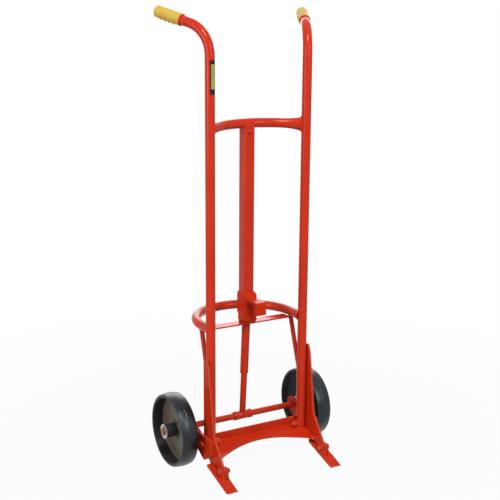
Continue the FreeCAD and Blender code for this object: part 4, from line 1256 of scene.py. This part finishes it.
@dataclass
class SprungStrut:
    """The telescopic strut between the tie strip and the axle."""

    finishes: Finishes
    wire_r: float = 1.5
    coil_r: float = 9.0
    turns: int = 5
    per_turn: int = 28
    play: float = 1.0

    def build(self) -> None:
        """Dress the nodes and wind the spring."""
        dress(["strut_tube", "strut_rod", "strut_pin"], self.finishes.tube)
        dress(["axle_sleeve"], self.finishes.tube, soften=1.4)
        dress(["strut_spring_seat"], self.finishes.spring)
        self.spring()

    def spring(self) -> None:
        """Wind the spring along the strut's slide, between the ends of the imported spring."""
        joints = frame["record"]["behaviour"]["joints"]
        slide = next(j for j in joints if j["name"] == "strut_slide")
        foot, axis = Vector(slide["pos_m"]), Vector(slide["axis"]).normalized()
        low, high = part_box("strut_spring")
        inset = (self.wire_r + self.play) * MM
        start = (low[2] - foot.z) / axis.z + inset
        reach = (high[2] - foot.z) / axis.z - inset - start
        u = axis.orthogonal().normalized() * (self.coil_r * MM)
        v = axis.cross(u)
        path = []
        for k in range(self.turns * self.per_turn + 1):
            turn = 2 * pi * k / self.per_turn
            rise = start + reach * (k / (self.turns * self.per_turn))
            path.append(foot + axis * rise + u * cos(turn) + v * sin(turn))
        shape = Shaper()
        shape.sweep(path, [self.wire_r * MM] * len(path))
        piece = shape.piece("wound_spring", "strut_upper", Slot.SPRING, self.finishes.spring)
        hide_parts("strut_spring")
        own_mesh(piece)


@dataclass(frozen=True)
class Lamp:
    """A soft area lamp."""

    name: str
    place: Triple
    target: Triple
    size: Span
    watts: float

    def hang(self) -> None:
        """Add the lamp to the scene."""
        data = bpy.data.lights.new(self.name, "AREA")
        data.shape = "RECTANGLE"
        data.size, data.size_y = self.size
        data.energy = self.watts
        lamp = show(self.name, data)
        lamp.location = self.place
        lamp.rotation_mode = "QUATERNION"
        aim = Vector(self.target) - Vector(self.place)
        lamp.rotation_quaternion = aim.to_track_quat("-Z", "Y")


@dataclass
class Studio:
    """Floor, light and camera."""

    eye: Triple = (-1.65702, -2.81706, 1.48702)
    right: Triple = (0.86425809, -0.50300785, 0.00640696)
    up: Triple = (0.11922706, 0.2171937, 0.9688198)
    forward: Triple = (0.48871552, 0.83654647, -0.24768356)
    sensor: float = 36.0
    lens: float = 72.437
    shift_y: float = 0.05
    floor_r: float = 14.0
    floor_drop: float = 0.0005
    floor_matt: float = 0.45
    floor_share: float = 0.95
    floor_fade: Span = (0.6, 2.2)
    ambient: float = 0.22
    lamps: tuple[Lamp, ...] = (
        Lamp("left_softbox", (-4.9, -0.6, 1.6), (0.0, 0.0, 0.6), (2.2, 2.2), 116.0),
        Lamp("right_softbox", (0.62, -2.8, 1.95), (0.0, 0.0, 0.4), (0.5, 1.6), 31.0),
        Lamp("top_softbox", (-1.4, -4.0, 6.8), (0.0, 0.0, 0.6), (1.7, 1.7), 370.0),
        Lamp("painted_inner_shade_strip", (1.78, 2.93, 1.50), (0.0, 0.0, 0.5), (0.42, 0.26), 1.0),
        Lamp("painted_inner_shade_softbox", (2.5, 4.3, 2.6), (0.0, 0.0, 0.7), (4.0, 3.2), 90.0),
    )

    def build(self) -> None:
        """Set up the whole studio."""
        self.camera()
        self.floor()
        self.world()
        for lamp in self.lamps:
            lamp.hang()
        bpy.context.scene.view_settings.view_transform = "Standard"

    def camera(self) -> None:
        """Place the camera at the photograph's viewpoint."""
        data = bpy.data.cameras.new("view")
        data.sensor_width = self.sensor
        data.lens = self.lens
        data.shift_y = self.shift_y
        camera = show("view", data)
        axes = [Vector(self.right), Vector(self.up), -Vector(self.forward), Vector(self.eye)]
        rows = [[axis[i] for axis in axes] for i in range(3)]
        camera.matrix_world = Matrix(rows + [[0.0, 0.0, 0.0, 1.0]])
        bpy.context.scene.camera = camera

    def floor(self) -> None:
        """Lay a pale round floor that keeps the shadow and fades into the background."""
        material = bpy.data.materials.new("pale_floor")
        material.use_nodes = True
        material.node_tree.nodes.clear()
        g = Graph(material.node_tree)
        away = g.vector("LENGTH", g.place()).outputs["Value"]
        fade = g.ramp(away, *self.floor_fade, start=self.floor_share)
        matt = g.add("BsdfDiffuse", Color=(*[self.floor_matt] * 3, 1.0)).outputs[0]
        white = g.add("Emission", Color=WHITE, Strength=1.0).outputs[0]
        mix = g.add("MixShader", i0=g.math("MULTIPLY", g.seen(), fade), i1=matt, i2=white)
        g.put(g.add("OutputMaterial").inputs["Surface"], mix.outputs[0])
        shape = Shaper()
        bmesh.ops.create_circle(shape.bm, cap_ends=True, segments=96, radius=self.floor_r)
        floor = shape.solid("floor", material)
        floor.location.z = -self.floor_drop

    def world(self) -> None:
        """White background, with a lower level for the light that it gives."""
        world = bpy.data.worlds.new("studio")
        world.use_nodes = True
        bpy.context.scene.world = world
        g = Graph(world.node_tree)
        span = g.math("MULTIPLY", g.seen(), 1.0 - self.ambient)
        shader = world.node_tree.nodes["Background"]
        shader.inputs["Color"].default_value = WHITE
        g.put(shader.inputs["Strength"], g.math("ADD", span, self.ambient))


def main() -> None:
    """Dress the trolley and set the studio."""
    logging.basicConfig(level=logging.INFO, format="%(message)s")
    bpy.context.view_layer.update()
    finishes = Finishes()
    Handles(finishes).build()
    CarryFrame(finishes).build()
    Toe(finishes).build()
    HexHardware(finishes).build()
    AxleCarriage(finishes).build()
    for side in Side:
        Wheel(finishes, side).build()
    SprungStrut(finishes).build()
    WeldBeads(finishes).build()
    Studio().build()


if __name__ == "__main__":
    main()
